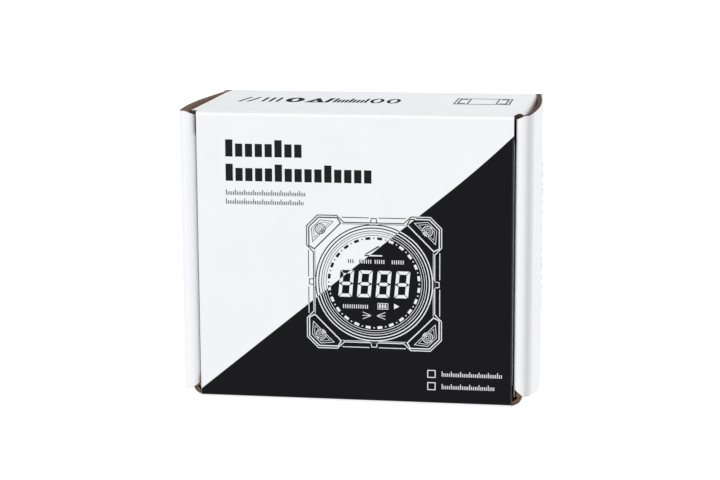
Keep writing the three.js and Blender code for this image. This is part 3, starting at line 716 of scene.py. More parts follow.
@dataclass(frozen=True)
class RolledWall(Sheet):
    """A side wall: an outer wall, a rolled edge and an inner wall, of one sheet.

    Lengths are in millimetres. The painted shade along the roll's outer crease is given as a share of grey.
    """

    side: int
    flare: float
    inner_roll: float
    bow: float
    lean: float
    crease_shade_share: float
    board: float = 1.5
    outer: float = 64.5
    inner: float = 59.7
    front: float = -36.0
    back: float = 34.2
    roll: float = 3.2
    top: float = 110.0
    top_slant: float = 1.5
    foot_slant: float = 2.9
    foot_rise: float = 5.4
    foot_run: float = 32.0
    lean_front: float = -20.0
    lean_low: float = 84.0
    inner_low: float = 4.7
    inner_high: float = 105.3
    hollow: float = 0.1
    outer_steps: int = 36
    inner_steps: int = 20
    outer_turn_steps: int = 12
    inner_turn_steps: int = 10

    @property
    def shoulder(self) -> float:
        """Where the outer wall ends and the roll begins, along the depth."""
        return self.front + self.roll

    def leaning(self, y: float, z: float) -> float:
        """How far the wall's upper back corner leans in at a point, with its side's sign."""
        rise = min(max((z - self.lean_low) / (self.top - self.lean_low), 0), 1)
        return -self.side * self.lean * eased(y, self.lean_front, self.back) * rise

    def outer_face(self, share: float) -> float:
        """The printed face of the outer wall, at a share of the way from the base to the roll."""
        return self.outer + self.flare * share + 4 * self.bow * share * (1 - share)

    def station(self, share: float) -> Station:
        """A place on the outer wall, at a share of the way from the base to the roll."""
        face = Vector((self.outer_face(share), self.back + (self.shoulder - self.back) * share, 0))
        return Station(face, Vector((1, 0, 0)), self.board)

    def stations(self) -> list[Station]:
        """The sheet from the base over the roll to the inner wall's front, level with the floor.

        Returns:
            Its places, on the wall's own side.
        """
        found = [self.station(step / self.outer_steps) for step in range(self.outer_steps + 1)]
        inner_thick = min(self.board, self.inner_roll - self.hollow)
        for radius, thick, centre_x, first, turns in (
            (self.roll, self.board, self.outer + self.flare - self.roll, 0, self.outer_turn_steps),
            (self.inner_roll, inner_thick, self.inner + self.inner_roll, 1, self.inner_turn_steps),
        ):
            centre = Vector((centre_x, self.front + radius, 0))
            for step in range(1 - first, turns + 1):
                angle = -math.pi / 2 * (first + step / turns)
                out = Vector((math.cos(angle), math.sin(angle), 0))
                found.append(Station(centre + out * radius, out, thick))
        return [station.mirrored(self.side) for station in found]

    def inner_stations(self) -> list[Station]:
        """The inner wall, from behind the roll to the base.

        Returns:
            Its places, on the wall's own side.
        """
        front = self.front + self.inner_roll
        run, inwards = self.back - front, Vector((-1, 0, 0))
        depths = [front + run * step / self.inner_steps for step in range(self.inner_steps + 1)]
        stations = [Station(Vector((self.inner, y, 0)), inwards, self.board) for y in depths]
        return [station.mirrored(self.side) for station in stations]

    def rolled_share(self, x: float) -> float:
        """How far across the roll a point lies, from 0 at its outer crease to 1 at its inner edge."""
        outer_in = self.outer - self.board
        return min(max((outer_in - abs(x)) / (outer_in - self.inner), 0), 1)

    def high_end(self, point: Vector) -> float:
        """The sheet's upper end at a point."""
        return self.top - self.top_slant * self.rolled_share(point.x)

    def low_end(self, point: Vector) -> float:
        """The sheet's lower end, which is cut up towards its front corner and slants over the roll.

        Args:
            point: A point of the sheet.

        Returns:
            The height of the end there.
        """
        corner = max(self.foot_rise * (1 - (point.y - self.front) / self.foot_run), 0)
        share = self.rolled_share(point.x)
        return max(corner, self.foot_rise + self.foot_slant * share) if share > 0 else corner

    def depth(self, graph: Graph) -> Wire:
        """How far a point lies under the printed face, round the roll too.

        Args:
            graph: The material's nodes.

        Returns:
            The depth in millimetres.
        """
        rise = ((graph.z - self.lean_low) / (self.top - self.lean_low)).most(0).least(1)
        x = graph.x * self.side + rise * graph.y.step(self.lean_front, self.back) * self.lean
        share = ((self.back - graph.y) / (self.back - self.shoulder)).least(1).most(0)
        face = self.outer + share * self.flare + share * (1 - share) * (4 * self.bow)
        out = (x - face + self.roll).most(0)
        front = (self.shoulder - graph.y).most(0)
        outside = self.roll - out.reach(front)
        inward = (self.inner + self.inner_roll - x).most(0)
        front = (self.front + self.inner_roll - graph.y).most(0)
        inside = self.inner_roll - inward.reach(front)
        return outside.least(inside)

    def across(self, graph: Graph) -> Wire:
        """How far a point lies along the sheet, across its upright flutes."""
        return graph.y - graph.x * self.side

    def model(self) -> Sketch:
        """The wall as one bent sheet.

        Returns:
            Its sketch.
        """
        sketch = Sketch()
        mesh = sketch.mesh
        stations = self.stations()
        sketch.strip([s.at(0) for s in stations], [s.at(1) for s in stations], (0, 0, self.top))
        for vert in mesh.verts:
            vert.co.z = self.high_end(vert.co) if vert.co.z > self.top / 2 else self.low_end(vert.co)
        cut = mesh.verts[:] + mesh.edges[:] + mesh.faces[:]
        bmesh.ops.bisect_plane(mesh, geom=cut, plane_co=(0, 0, self.lean_low), plane_no=(0, 0, 1))
        for vert in mesh.verts:
            vert.co.x += self.leaning(vert.co.y, vert.co.z)
        stations = [station.moved(0, self.inner_low) for station in self.inner_stations()]
        height = self.inner_high - self.inner_low
        sketch.strip([s.at(0) for s in stations], [s.at(1) for s in stations], (0, 0, height))
        return sketch


@dataclass(frozen=True)
class BoardFinish:
    """Corrugated board: a white coated face, brown liners, and flutes at the cut ends, with painted shade
    between them.
    """

    name: str
    sheet: Sheet
    bends: bool = False
    board: float = 1.5
    pitch: float = 3.3
    white: Colour = (0.9, 0.905, 0.925)
    kraft_light: Colour = (0.4, 0.27, 0.165)
    kraft_dark: Colour = (0.27, 0.17, 0.1)
    flute_shade: Colour = (0.035, 0.02, 0.012)
    gloss: float = 0.3
    coat: float = 0.08
    face_end: Flat = (0.06, 0.1)
    outer_liner: Flat = (0.15, 0.19)
    inner_liner: Flat = (0.76, 0.8)
    medium: Flat = (0.1, 0.17)
    medium_swing: float = 0.3
    ripple: float = 0.008
    tooth: float = 0.012

    def printed(self, graph: Graph) -> Wire:
        """The printed face's colour: white, with the faintest mottle."""
        return graph.mix(graph.noise(0.06, 4), self.white, shaded(self.white, 0.975))

    def is_face(self, graph: Graph, depth: Wire) -> Wire:
        """1 on the printed face and 0 below it."""
        return 1 - depth.step(*self.face_end)

    def material(self) -> bpy.types.Material:
        """Wires the finish up.

        Returns:
            The material.
        """
        graph = Graph(self.name, self.bends)
        depth = self.sheet.depth(graph) / self.board
        across = self.sheet.across(graph) * (FULL_TURN / self.pitch)
        face = self.is_face(graph, depth)
        fibre = graph.noise(2.6, 5, graph.stretched((1, 1, 0.25)))
        kraft = graph.mix(fibre.step(0.3, 0.75), self.kraft_light, self.kraft_dark)
        medium = 1 - abs(depth - 0.5 - across.sine() * self.medium_swing).step(*self.medium)
        liners = (1 - depth.step(*self.outer_liner)).most(depth.step(*self.inner_liner))
        # Painted shade: between the liners and the waved sheet the cut end is near black, for the shade in
        # the flute hollows.
        end = graph.mix(medium.most(liners), self.flute_shade, kraft)
        colour = graph.mix(face, end, self.printed(graph))
        height = across.sine() * self.ripple + graph.noise(3.5, 4) * self.tooth
        return graph.finish(
            Base_Color=colour, Roughness=0.85 - face * 0.4, Coat_Weight=face * self.coat, Coat_Roughness=0.32,
            Specular_IOR_Level=self.gloss, Normal=graph.bump(height),
        )


@dataclass(frozen=True)
class WallFinish(BoardFinish):
    """A side wall's board: its face has painted shade, a greyer band along the roll's outer crease."""

    before_crease: float = 2.4
    past_crease: float = 0.1
    behind_crease: float = 11.0
    crease_shade_level: float = 0.05
    kraft_light: Colour = (0.34, 0.212, 0.145)
    kraft_dark: Colour = (0.21, 0.124, 0.082)

    def printed(self, graph: Graph) -> Wire:
        """The printed face's colour, with a soft grey band of painted shade along the crease.

        Args:
            graph: The material's nodes.

        Returns:
            The colour.
        """
        wall = self.sheet
        crease = wall.outer + wall.flare
        turning = (graph.x * wall.side).step(crease - self.before_crease, crease + self.past_crease)
        behind = graph.y.step(wall.shoulder, wall.shoulder + self.behind_crease)
        # Painted shade: the face is mixed towards grey along the roll's outer crease, standing in for the
        # shading where the roll turns into the side.
        painted_shade = turning * (1 - behind) * wall.crease_shade_share
        return graph.mix(painted_shade, super().printed(graph), shaded(self.white, self.crease_shade_level))


@dataclass(frozen=True)
class BaseFinish(BoardFinish):
    """The base panel's board: its edges are folds, the upper and lower ones as far as the corner flaps."""

    height: float = 110.0
    fold_half: float = 59.5
    half: float = 64.5
    edge_band: float = 0.3
    side_band: float = 2.5
    fade: float = 0.2

    def is_face(self, graph: Graph, depth: Wire) -> Wire:
        """1 on the printed face and on the folded edges, and 0 elsewhere.

        Args:
            graph: The material's nodes.
            depth: The depth under the printed face, as a share of the board.

        Returns:
            The share of printed face, from 0 to 1.
        """
        edge_start = self.height / 2 - self.edge_band
        side_start = self.half - self.side_band
        edge = abs(graph.z - self.height / 2).step(edge_start, edge_start + self.fade)
        folded = edge * (1 - abs(graph.x).step(self.fold_half, self.fold_half + self.fade))
        side = abs(graph.x).step(side_start, side_start + self.fade) * (1 - edge)
        return super().is_face(graph, depth).most(folded).most(side)


@dataclass(frozen=True)
class Diagonal:
    """The line that parts the lid's white and black print, steeper at its end. Millimetres on the lid."""

    x: float = -57.2
    z: float = 5.53
    slope: float = 0.8206
    bend_x: float = 35.0
    bend: float = 0.0031
    low: float = 1.9
    low_blur: float = 0.15
    blur: float = 0.12

    def below(self, graph: Graph) -> Wire:
        """The black side of the line.

        Args:
            graph: The material's nodes.

        Returns:
            1 on the black side and 0 on the white one.
        """
        past = (graph.x - self.bend_x).most(0)
        height = graph.z - self.z - (graph.x - self.x) * self.slope - past * past * self.bend
        return 1 - height.step(-self.blur, self.blur)


@dataclass(frozen=True)
class LidFinish(BoardFinish):
    """The lid's board: white above the diagonal, black below it, and printed round its folded sides."""

    diagonal: Diagonal = field(default_factory=Diagonal)
    black: Colour = (0.006, 0.006, 0.007)
    scuff_and_edge_highlight: Colour = (0.045, 0.045, 0.05)
    half: float = 59.0
    fold_low: float = 8.5
    fold_high: float = 101.5
    top: float = 110.0
    foot: float = 0.8
    side_band: float = 0.3
    top_band: float = 0.5
    foot_band: float = 0.1
    fade: float = 0.2
    fold_depth: Flat = (0.6, 0.7)
    fold_highlight: Colour = (0.985, 0.987, 0.995)
    fold_highlight_band: Flat = (2.2, 0.7)
    edge_highlight_band: float = 0.7
    gloss: float = 0.06
    coat: float = 0.02

    def is_face(self, graph: Graph, depth: Wire) -> Wire:
        """1 on the printed face and on the edges that are folds, and 0 elsewhere.

        Args:
            graph: The material's nodes.
            depth: The depth under the printed face, as a share of the board.

        Returns:
            The share of printed face, from 0 to 1.
        """
        side = (abs(graph.x) - self.half + self.side_band).step(0, self.fade / 2)
        folded = side * graph.z.step(self.fold_low, self.fold_low + self.fade)
        folded = folded * (1 - graph.z.step(self.fold_high - self.fade, self.fold_high))
        top_start = self.top - self.top_band
        foot_start = self.foot + self.foot_band
        top_end = graph.z.step(top_start, top_start + self.fade)
        foot_end = 1 - graph.z.step(foot_start, foot_start + self.fade)
        outer = 1 - depth.step(*self.fold_depth)
        return super().is_face(graph, depth).most(folded.most(top_end.most(foot_end)) * outer)

    def printed(self, graph: Graph) -> Wire:
        """The printed face's colour: a painted highlight under the top fold, scuffed specks in the ink, and
        painted highlight on the ink along the side folds.

        Args:
            graph: The material's nodes.

        Returns:
            The colour.
        """
        # Painted highlight: the white is lightened just under the top fold, where the rounded fold catches
        # the light.
        highlight_share = graph.z.step(*(self.top - inset for inset in self.fold_highlight_band))
        white = graph.mix(highlight_share, super().printed(graph), self.fold_highlight)
        # The specks are scuffs in the ink. Painted highlight: the ink is also lightened along the side folds,
        # where their rounded edges catch the light.
        speck = graph.noise(1.1, 6).step(0.62, 0.8) * 0.15
        edge = (abs(graph.x) - self.half + self.edge_highlight_band).step(0, 0.5) * 0.8
        ink = graph.mix(speck.most(edge), self.black, self.scuff_and_edge_highlight)
        line = self.diagonal
        inked = line.below(graph) * graph.z.step(line.low - line.low_blur, line.low + line.low_blur)
        return graph.mix(inked, white, ink)


@dataclass(frozen=True)
class InkFinish:
    """Printed marks on the lid: black on the white side of the diagonal and white on the black side."""

    name: str
    black: Colour = (0.009, 0.009, 0.0105)
    white: Colour = (0.86, 0.865, 0.885)
    diagonal: Diagonal = field(default_factory=Diagonal)

    def material(self) -> bpy.types.Material:
        """Wires the finish up.

        Returns:
            The material.
        """
        graph = Graph(self.name)
        speck = graph.noise(2.5, 4).step(0.6, 0.8) * 0.1
        dark = graph.mix(speck, self.black, self.white)
        colour = graph.mix(self.diagonal.below(graph), dark, self.white)
        return graph.finish(Base_Color=colour, Roughness=0.5, Specular_IOR_Level=0.1)


@dataclass(frozen=True)
class CutPaper:
    """Brown paper seen at a cut end of the board."""

    name: str = "cut_paper"
    light: Colour = (0.46, 0.33, 0.22)
    dark: Colour = (0.24, 0.15, 0.09)

    def material(self) -> bpy.types.Material:
        """Wires the finish up.

        Returns:
            The material.
        """
        graph = Graph(self.name)
        fibre = graph.noise(3.2, 6, graph.stretched((1, 0.3, 0.4)))
        colour = graph.mix(fibre.step(0.35, 0.6), self.dark, self.light)
        normal = graph.bump(fibre * 0.05)
        return graph.finish(Base_Color=colour, Roughness=0.9, Normal=normal, Specular_IOR_Level=0.2)


@dataclass(frozen=True)
class FoamFinish:
    """Closed-cell foam: dark grey, with fine cells and a soft sheen."""

    name: str = "closed_cell_foam"
    base: Colour = (0.03, 0.031, 0.034)
    light: Colour = (0.055, 0.056, 0.06)

    def material(self) -> bpy.types.Material:
        """Wires the finish up.

        Returns:
            The material.
        """
        graph = Graph(self.name)
        cells, fine = graph.cells(1.6), graph.cells(4.5)
        colour = graph.mix(cells.step(0.1, 0.6), self.base, self.light)
        return graph.finish(
            Base_Color=colour, Roughness=0.92 - fine * 0.1, Normal=graph.bump(cells * -0.09 - fine * 0.04),
            Sheen_Weight=0.25, Sheen_Roughness=0.5, Specular_IOR_Level=0.3,
        )


@dataclass(frozen=True)
class MouldedPlastic:
    """Moulded plastic with a spark-eroded texture."""

    name: str
    colour: Colour
    roughness: float = 0.5
    grain: float = 5.0
    height: float = 0.02
    gloss: float = 0.5

    def material(self) -> bpy.types.Material:
        """Wires the finish up.

        Returns:
            The material.
        """
        graph = Graph(self.name)
        texture = graph.noise(self.grain, 3)
        rub = graph.noise(0.15, 5).step(0.55, 0.8)
        colour = graph.mix(rub * 0.4, self.colour, shaded(self.colour, 1.5))
        roughness = self.roughness + texture * 0.12 - rub * 0.08
        return graph.finish(
            Base_Color=colour, Roughness=roughness, Normal=graph.bump(texture * self.height),
            Specular_IOR_Level=self.gloss,
        )


@dataclass(frozen=True)
class BrushedMetal:
    """Metal brushed along one direction, which is the axis with the small factor."""

    name: str
    colour: Colour
    along: Triple = (0.05, 1.0, 1.0)
    roughness: float = 0.28
    height: float = 0.004

    def material(self) -> bpy.types.Material:
        """Wires the finish up.

        Returns:
            The material.
        """
        graph = Graph(self.name)
        brushing = graph.noise(9, 4, graph.stretched(self.along))
        colour = graph.mix(brushing.step(0.3, 0.7), shaded(self.colour, 0.82), self.colour)
        roughness = self.roughness + brushing * 0.18 + graph.noise(0.25, 3) * 0.08
        return graph.finish(
            Base_Color=colour, Metallic=1.0, Roughness=roughness, Normal=graph.bump(brushing * self.height),
        )


@dataclass(frozen=True)
class ClearGlass:
    """The dial's cover glass: clear, with a faint haze of fingerprints."""

    name: str = "dial_glass"
    tint: Colour = (0.02, 0.022, 0.024)

    def material(self) -> bpy.types.Material:
        """Wires the finish up.

        Returns:
            The material.
        """
        graph = Graph(self.name)
        smear = graph.noise(0.3, 5).step(0.5, 0.8)
        return graph.finish(
            Base_Color=self.tint, Roughness=0.02 + smear * 0.05, Alpha=0.12 + smear * 0.02, Coat_Weight=0.3,
            Coat_Roughness=0.03,
        )


@dataclass(frozen=True)
class DarkDisplay:
    """The liquid crystal panel with its polariser: nearly black, with a faint violet cast."""

    name: str = "lcd_polariser"
    colour: Colour = (0.006, 0.007, 0.011)

    def material(self) -> bpy.types.Material:
        """Wires the finish up.

        Returns:
            The material.
        """
        graph = Graph(self.name)
        cast = graph.noise(0.05, 2)
        colour = graph.mix(cast, self.colour, shaded(self.colour, 1.8))
        return graph.finish(Base_Color=colour, Roughness=0.3 + cast * 0.1, Specular_IOR_Level=0.25)


@dataclass(frozen=True)
class LitSegment:
    """A lit segment of the display."""

    name: str
    colour: Colour
    glow: float = 0.9

    def material(self) -> bpy.types.Material:
        """Wires the finish up.

        Returns:
            The material.
        """
        graph = Graph(self.name)
        lit = graph.mix(graph.noise(1.2, 2), self.colour, shaded(self.colour, 0.9))
        return graph.finish(Base_Color=lit, Roughness=0.4, Emission_Color=lit, Emission_Strength=self.glow)


@dataclass(frozen=True)
class CircuitBoard:
    """A green circuit board with copper tracks under its lacquer, and plated holes."""

    name: str = "circuit_board"
    lacquer: Colour = (0.012, 0.085, 0.035)
    track: Colour = (0.03, 0.19, 0.075)
    plating: Colour = (0.62, 0.55, 0.38)

    def material(self) -> bpy.types.Material:
        """Wires the finish up.

        Returns:
            The material.
        """
        graph = Graph(self.name)
        grid = abs((graph.x * 1.6).sine()).least(abs((graph.z * 1.6).sine()))
        tracks = (1 - grid.step(0.12, 0.2)) * graph.noise(0.22, 1).step(0.47, 0.53)
        holes = 1 - graph.cells(0.35).step(0.08, 0.1)
        colour = graph.mix(holes, graph.mix(tracks, self.lacquer, self.track), self.plating)
        return graph.finish(
            Base_Color=colour, Roughness=0.35 + tracks * 0.05, Metallic=holes * 0.9, Coat_Weight=0.5,
        )


@dataclass(frozen=True)
class Crease:
    """A crease of the lid, whose paper carries on from one panel to the next."""

    name: str
    axis: Vector
    bodies: tuple[str, str]
    ways: tuple[Vector, Vector]
    outs: tuple[Vector, Vector]
    turn: int
    steps: int = 8

    def section(self, radius: float, reach: float) -> list[Vector]:
        """The paper's outline round the crease.

        Args:
            radius: The distance of its faces from the middle of the board.
            reach: How far it goes along each panel.

        Returns:
            The outline's corners.
        """
        (near_way, far_way), (near_out, far_out) = self.ways, self.outs
        arc = [near_out.slerp(far_out, step / self.steps) * radius for step in range(self.steps + 1)]
        inner = (near_out + far_out) * -radius
        outer = [near_way * reach + near_out * radius, *arc, far_way * reach + far_out * radius]
        under = [far_way * reach - far_out * radius, inner, near_way * reach - near_out * radius]
        return [self.axis + point for point in outer + under]


@dataclass(frozen=True)
class CornerFold:
    """How the corner flaps of one level turn from their wall. Sizes are in millimetres."""

    level: str
    way: int
    radius: float
    start: float
    out: float
    lift: float
    board: float = 1.5
    steps: int = 14

    def stations(self, centre: Vector, end: float) -> list[Station]:
        """The flap from its wall's edge round the fold and along the side wall.

        Args:
            centre: The middle of the fold, on the right side.
            end: The height of the flap's far edge.

        Returns:
            Its places, on the right side.
        """
        face = Vector((0, 0, self.way))
        edge = Vector((self.start, centre.y, centre.z + self.way * (self.radius - self.lift)))
        half_way = Vector((centre.x, centre.y, centre.z + self.way * self.radius))
        found = [Station(edge, face, self.board), Station((edge + half_way) / 2, face, self.board)]
        for step in range(self.steps + 1):
            angle = math.pi / 2 * (1 - step / self.steps)
            out = Vector((math.cos(angle), 0, math.sin(angle) * self.way))
            found.append(Station(centre + out * self.radius, out, self.board))
        return [*found, found[-1].moved(0, end)]


@dataclass
class Carton:
    """The corrugated mailer carton, closed, with its lid to the front. Sizes are in millimetres."""

    board: float = 1.5
    flute_pitch: float = 3.3
    liner_share: float = 0.19
    medium_share: float = 0.15
    liner_inset: float = 0.01
    medium_step: float = 0.3
    end_proud: float = 0.3
    end_sunk: float = 0.1
    high_end_share: float = 0.4
    low_end_share: float = 0.2
    cover: float = 0.06
    panel_edge: float = 0.12
    lid_edge: float = 0.5
    crease_reach: float = 1.65
    crease_end: float = 0.1
    crease_bend: float = 1.05
    dust_reach: float = 0.3
    tab_height: float = 26.0
    tab_half: float = 7.4
    tab_root: float = 1.0
    tab_end: float = 35.8
    folds: tuple[CornerFold, ...] = (
        CornerFold("top", 1, radius=1.8, start=57.9, out=0.02, lift=0),
        CornerFold("bottom", -1, radius=4.4, start=58.1, out=-0.95, lift=-0.95),
    )
    arch_centre: Vector = field(default_factory=lambda: Vector((60.8, -33.5, 108.8)))
    arch_radius: float = 1.78
    arch_board: float = 1.0
    arch_run: float = 7.0
    arch_sink: float = 0.1
    arch_steps: int = 16
    tuck_lean: float = 12.0
    # Each wall also sets how much painted shade greys its face along the roll's outer crease.
    walls: dict[str, RolledWall] = field(default_factory=lambda: {
        "left": RolledWall(
            -1, flare=1.4, inner_roll=2.4, bow=1.5, lean=2.2, crease_shade_share=0.1, foot_rise=4.0, foot_slant=2.2,
        ),
        "right": RolledWall(1, flare=0.3, inner_roll=1.9, bow=1.9, lean=0.9, crease_shade_share=0.31),
    })
    # Painted light and shade: the walls' cut ends get two copies of one paper, the right one darker for the
    # shade on that side and the left one lighter for the light on its side.
    lit_and_shaded_band_papers: dict[str, CutPaper] = field(default_factory=lambda: {
        "left": CutPaper("lit_left_band_paper", (0.38, 0.265, 0.205), (0.12, 0.072, 0.055)),
        "right": CutPaper("shaded_right_band_paper", (0.22, 0.165, 0.15), (0.035, 0.024, 0.022)),
    })
    dash_count: int = 16
    dash_foot: float = 29.0
    dash_pitch: float = 3.7
    dash_height: float = 1.2
    long_dash_height: float = 2.6
    long_dash_every: int = 4
    dash_shares: Triple = (0.3, 0.325, 0.35)
    dash_depths: Flat = (-0.03, 0.05)
    lid_half: float = field(init=False)
    lid_front: float = field(init=False)
    top: float = field(init=False)
    middle_z: float = field(init=False)
    hinge: Vector = field(init=False)
    tuck_crease: Vector = field(init=False)
    flap_low: Vector = field(init=False)
    flap_high: Vector = field(init=False)
    paper: bpy.types.Material = field(init=False)
    shaded_paper: bpy.types.Material = field(init=False)

    def __post_init__(self) -> None:
        """Reads the places that follow the CAD model."""
        lid_low, lid_high = node_box("lid_panel")
        self.lid_half = lid_high.x
        self.lid_front = lid_low.y
        self.top = node_box("hinge_wall")[1].z
        self.middle_z = self.top / 2
        self.hinge = Vector((0, self.lid_front + self.board / 2, self.top - self.board / 2))
        self.tuck_crease = Vector((0, self.hinge.y, lid_low.z + self.board / 2))
        self.flap_low, self.flap_high = node_box("corner_flap_top_right")
        self.paper = CutPaper().material()
        # Painted shade: a darker copy of the cut paper for the top flaps' and the arch's cut ends, which lie
        # in shadow.
        self.shaded_paper = CutPaper("shaded_paper", (0.17, 0.11, 0.075), (0.05, 0.03, 0.02)).material()

    def make(self) -> None:
        """Dresses the carton and adds what its solids leave out."""
        self.dress_panels()
        self.make_corner_flaps()
        self.make_raised_fold()
        self.make_side_walls()
        self.make_creases()
        self.make_dust_creases()
        self.make_wall_marks()

    def dress_panels(self) -> None:
        """Gives every flat panel its board."""
        base = FlatSheet(Axis.Y, node_box("base_panel")[1].y, -1)
        dress("base_panel", BaseFinish("base_panel_board", base).material(), self.panel_edge)
        sheets = {
            "hinge_wall": FlatSheet(Axis.Z, self.top, -1),
            "front_wall": FlatSheet(Axis.Z, 0, 1),
            "dust_flap_left": FlatSheet(Axis.X, -self.lid_half, 1, Axis.Y),
            "dust_flap_right": FlatSheet(Axis.X, self.lid_half, -1, Axis.Y),
            "tuck_flap": LeaningSheet(self.tuck_crease, self.tuck_lean, self.board),
        }
        for node, sheet in sheets.items():
            dress(node, BoardFinish(node + "_board", sheet).material(), self.panel_edge)
        lid = FlatSheet(Axis.Y, self.lid_front, 1)
        dress("lid_panel", LidFinish("lid_board", lid).material(), self.lid_edge)

    def make_corner_flaps(self) -> None:
        """The corner flaps: the upper ones have a tighter fold, the lower ones are pushed up a little."""
        for fold in self.folds:
            centre_x = self.flap_high.x - fold.radius
            centre_z = self.middle_z + fold.way * (self.middle_z + fold.out - fold.radius)
            centre = Vector((centre_x, self.flap_low.y, centre_z))
            end = self.flap_low.z if fold.way > 0 else self.top - self.flap_low.z
            found = fold.stations(centre, end)
            fold_z = abs(centre.z - self.middle_z)
            sheet = FoldedSheet(centre.x, fold_z, fold.radius, self.middle_z)
            board = BoardFinish(f"{fold.level}_corner_flap_board", sheet).material()
            # The upper flaps' ends take the cut paper with painted shade.
            paper = self.shaded_paper if fold.way > 0 else self.paper
            for name, side in SIDES:
                stations = [station.mirrored(side) for station in found]
                sketch = Sketch()
                depth = self.flap_high.y - self.flap_low.y
                sketch.strip([s.at(0) for s in stations], [s.at(1) for s in stations], (0, depth, 0))
                label = f"folded_flap_{fold.level}_{name}"
                piece = place_piece(sketch.piece(label, board), "carton")
                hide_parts(f"corner_flap_{fold.level}_{name}")
                self.fluted_end(label + "_flutes", stations[1:-1], Vector((0, -1, 0)), paper)

    def make_raised_fold(self) -> None:
        """The right flap's front corner, which is raised into a small arch beside the lid."""
        stations = []
        for step in range(self.arch_steps + 1):
            angle = math.pi * (1 - step / self.arch_steps)
            out = Vector((math.cos(angle), 0, math.sin(angle)))
            stations.append(Station(self.arch_centre + out * self.arch_radius, out, self.arch_board))
        sketch = Sketch()
        push = (0, self.arch_run, -self.arch_run * self.arch_sink)
        sketch.strip([s.at(0) for s in stations], [s.at(1) for s in stations], push)
        sheet = ArchSheet(self.arch_centre, self.arch_radius, self.arch_sink)
        board = BoardFinish("raised_fold_board", sheet, board=self.arch_board).material()
        place_piece(sketch.piece("raised_fold", board), "carton")
        self.fluted_end("raised_fold_flutes", stations, Vector((0, -1, 0)), self.shaded_paper)

    def make_side_walls(self) -> None:
        """The rolled side walls, each as one bent sheet with its fluted ends."""
        for name, wall in self.walls.items():
            sketch = wall.model()
            self.add_lock_tabs(sketch, wall)
            board = WallFinish(f"side_wall_{name}_board", wall).material()
            piece = place_piece(sketch.piece(f"rolled_wall_{name}", board), "carton")
            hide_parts(f"side_wall_{name}")
            paper = self.lit_and_shaded_band_papers[name].material()
            for level, end, way in (("top", wall.high_end, 1), ("bottom", wall.low_end, -1)):
                stations = []
                for station in wall.stations():
                    height = end(station.face)
                    stations.append(station.moved(wall.leaning(station.face.y, height), height))
                push = Vector((0, 0, way)) * (self.high_end_share if way > 0 else self.low_end_share)
                self.fluted_end(f"rolled_wall_{name}_{level}_flutes", stations, push, paper)

    def add_lock_tabs(self, sketch: Sketch, wall: RolledWall) -> None:
        """The tabs that lock the inner wall into the base panel.

        Args:
            sketch: The wall's sketch, which gets them.
            wall: The wall.
        """
        left, right = sorted((wall.inner * wall.side, (wall.inner + wall.board) * wall.side))
        root = wall.back - self.tab_root
        for middle in (self.middle_z - self.tab_height, self.middle_z + self.tab_height):
            sketch.box((left, root, middle - self.tab_half), (right, self.tab_end, middle + self.tab_half))

    def fluted_end(
        self, name: str, stations: list[Station], push: Vector, paper: bpy.types.Material
    ) -> None:
        """A cut end of the board: two liners with the waved sheet between them.

        Args:
            name: The piece's name.
            stations: Places along the board's end.
            push: The way that the end faces.
            paper: The finish of the cut paper.
        """
        sketch = Sketch()
        sink = push * -self.end_sunk
        rise = push * (self.end_proud + self.end_sunk)
        inset, liner = self.liner_inset, self.liner_share
        for near, far in ((inset, liner), (1 - liner, 1 - inset)):
            sketch.strip([s.at(near) + sink for s in stations], [s.at(far) + sink for s in stations], rise)
        swing = 0.5 - self.liner_share - self.medium_share / 2
        near, far = [], []
        travelled = 0.0
        for start, end in zip(stations, stations[1:]):
            length = (end.face - start.face).length
            steps = max(round(length / self.medium_step), 1)
            for step in range(steps):
                station = start.towards(end, step / steps)
                phase = FULL_TURN * (travelled + length * step / steps) / self.flute_pitch
                wave = 0.5 + swing * math.sin(phase)
                near.append(station.at(wave - self.medium_share / 2) + sink)
                far.append(station.at(wave + self.medium_share / 2) + sink)
            travelled += length
        sketch.strip(near, far, rise)
        place_piece(sketch.piece(name, paper), "carton")

    def make_creases(self) -> None:
        """The paper that carries on from the hinge wall to the lid, and from the lid to its tuck flap."""
        lean = math.radians(self.tuck_lean)
        forward = Vector((0, -1, 0))
        tuck_way = Vector((0, math.cos(lean), math.sin(lean)))
        tuck_out = Vector((0, math.sin(lean), -math.cos(lean)))
        up = Vector((0, 0, 1))
        radius = self.board / 2 + self.cover
        for crease in (
            Crease("hinge_crease", self.hinge, ("carton", "lid"), (-forward, -up), (up, forward), 1),
            Crease("tuck_crease", self.tuck_crease, ("lid", "tuck"), (up, tuck_way), (forward, tuck_out), -1),
        ):
            shift = Vector((self.lid_half - self.crease_end, 0, 0))
            corners = [corner - shift for corner in crease.section(radius, self.crease_reach)]
            sketch = Sketch()
            sketch.slab(corners, shift * 2)
            sheet = CreaseSheet(crease.axis, crease.turn, radius)
            board = LidFinish(crease.name + "_board", sheet, bends=True)
            piece = sketch.piece(crease.name + "_paper", board.material())
            keep_places(piece)
            start, end = ((crease.axis + way * self.crease_bend) * MILLIMETRE for way in crease.ways)
            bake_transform(piece)
            log.info("%s joins %s", piece.name, " and ".join(crease.bodies))

    def make_dust_creases(self) -> None:
        """The paper that carries on from the lid's sides to the dust flaps."""
        for name, side in SIDES:
            low, high = node_box(f"dust_flap_{name}")
            near = self.lid_front + self.board - self.dust_reach
            far = low.y + self.dust_reach
            outer, inner = self.lid_half + self.cover, self.lid_half - self.board - self.cover
            left, right = sorted((side * outer, side * inner))
            sketch = Sketch()
            sketch.box((left, near, low.z + self.crease_end), (right, far, high.z - self.crease_end))
            sheet = FlatSheet(Axis.X, side * self.lid_half, -side, Axis.Y)
            board = BoardFinish(f"dust_crease_{name}_board", sheet, bends=True)
            piece = sketch.piece(f"dust_crease_{name}_paper", board.material())
            keep_places(piece)
            middle = Vector((side * (self.lid_half - self.board), 0, self.middle_z))
            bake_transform(piece)

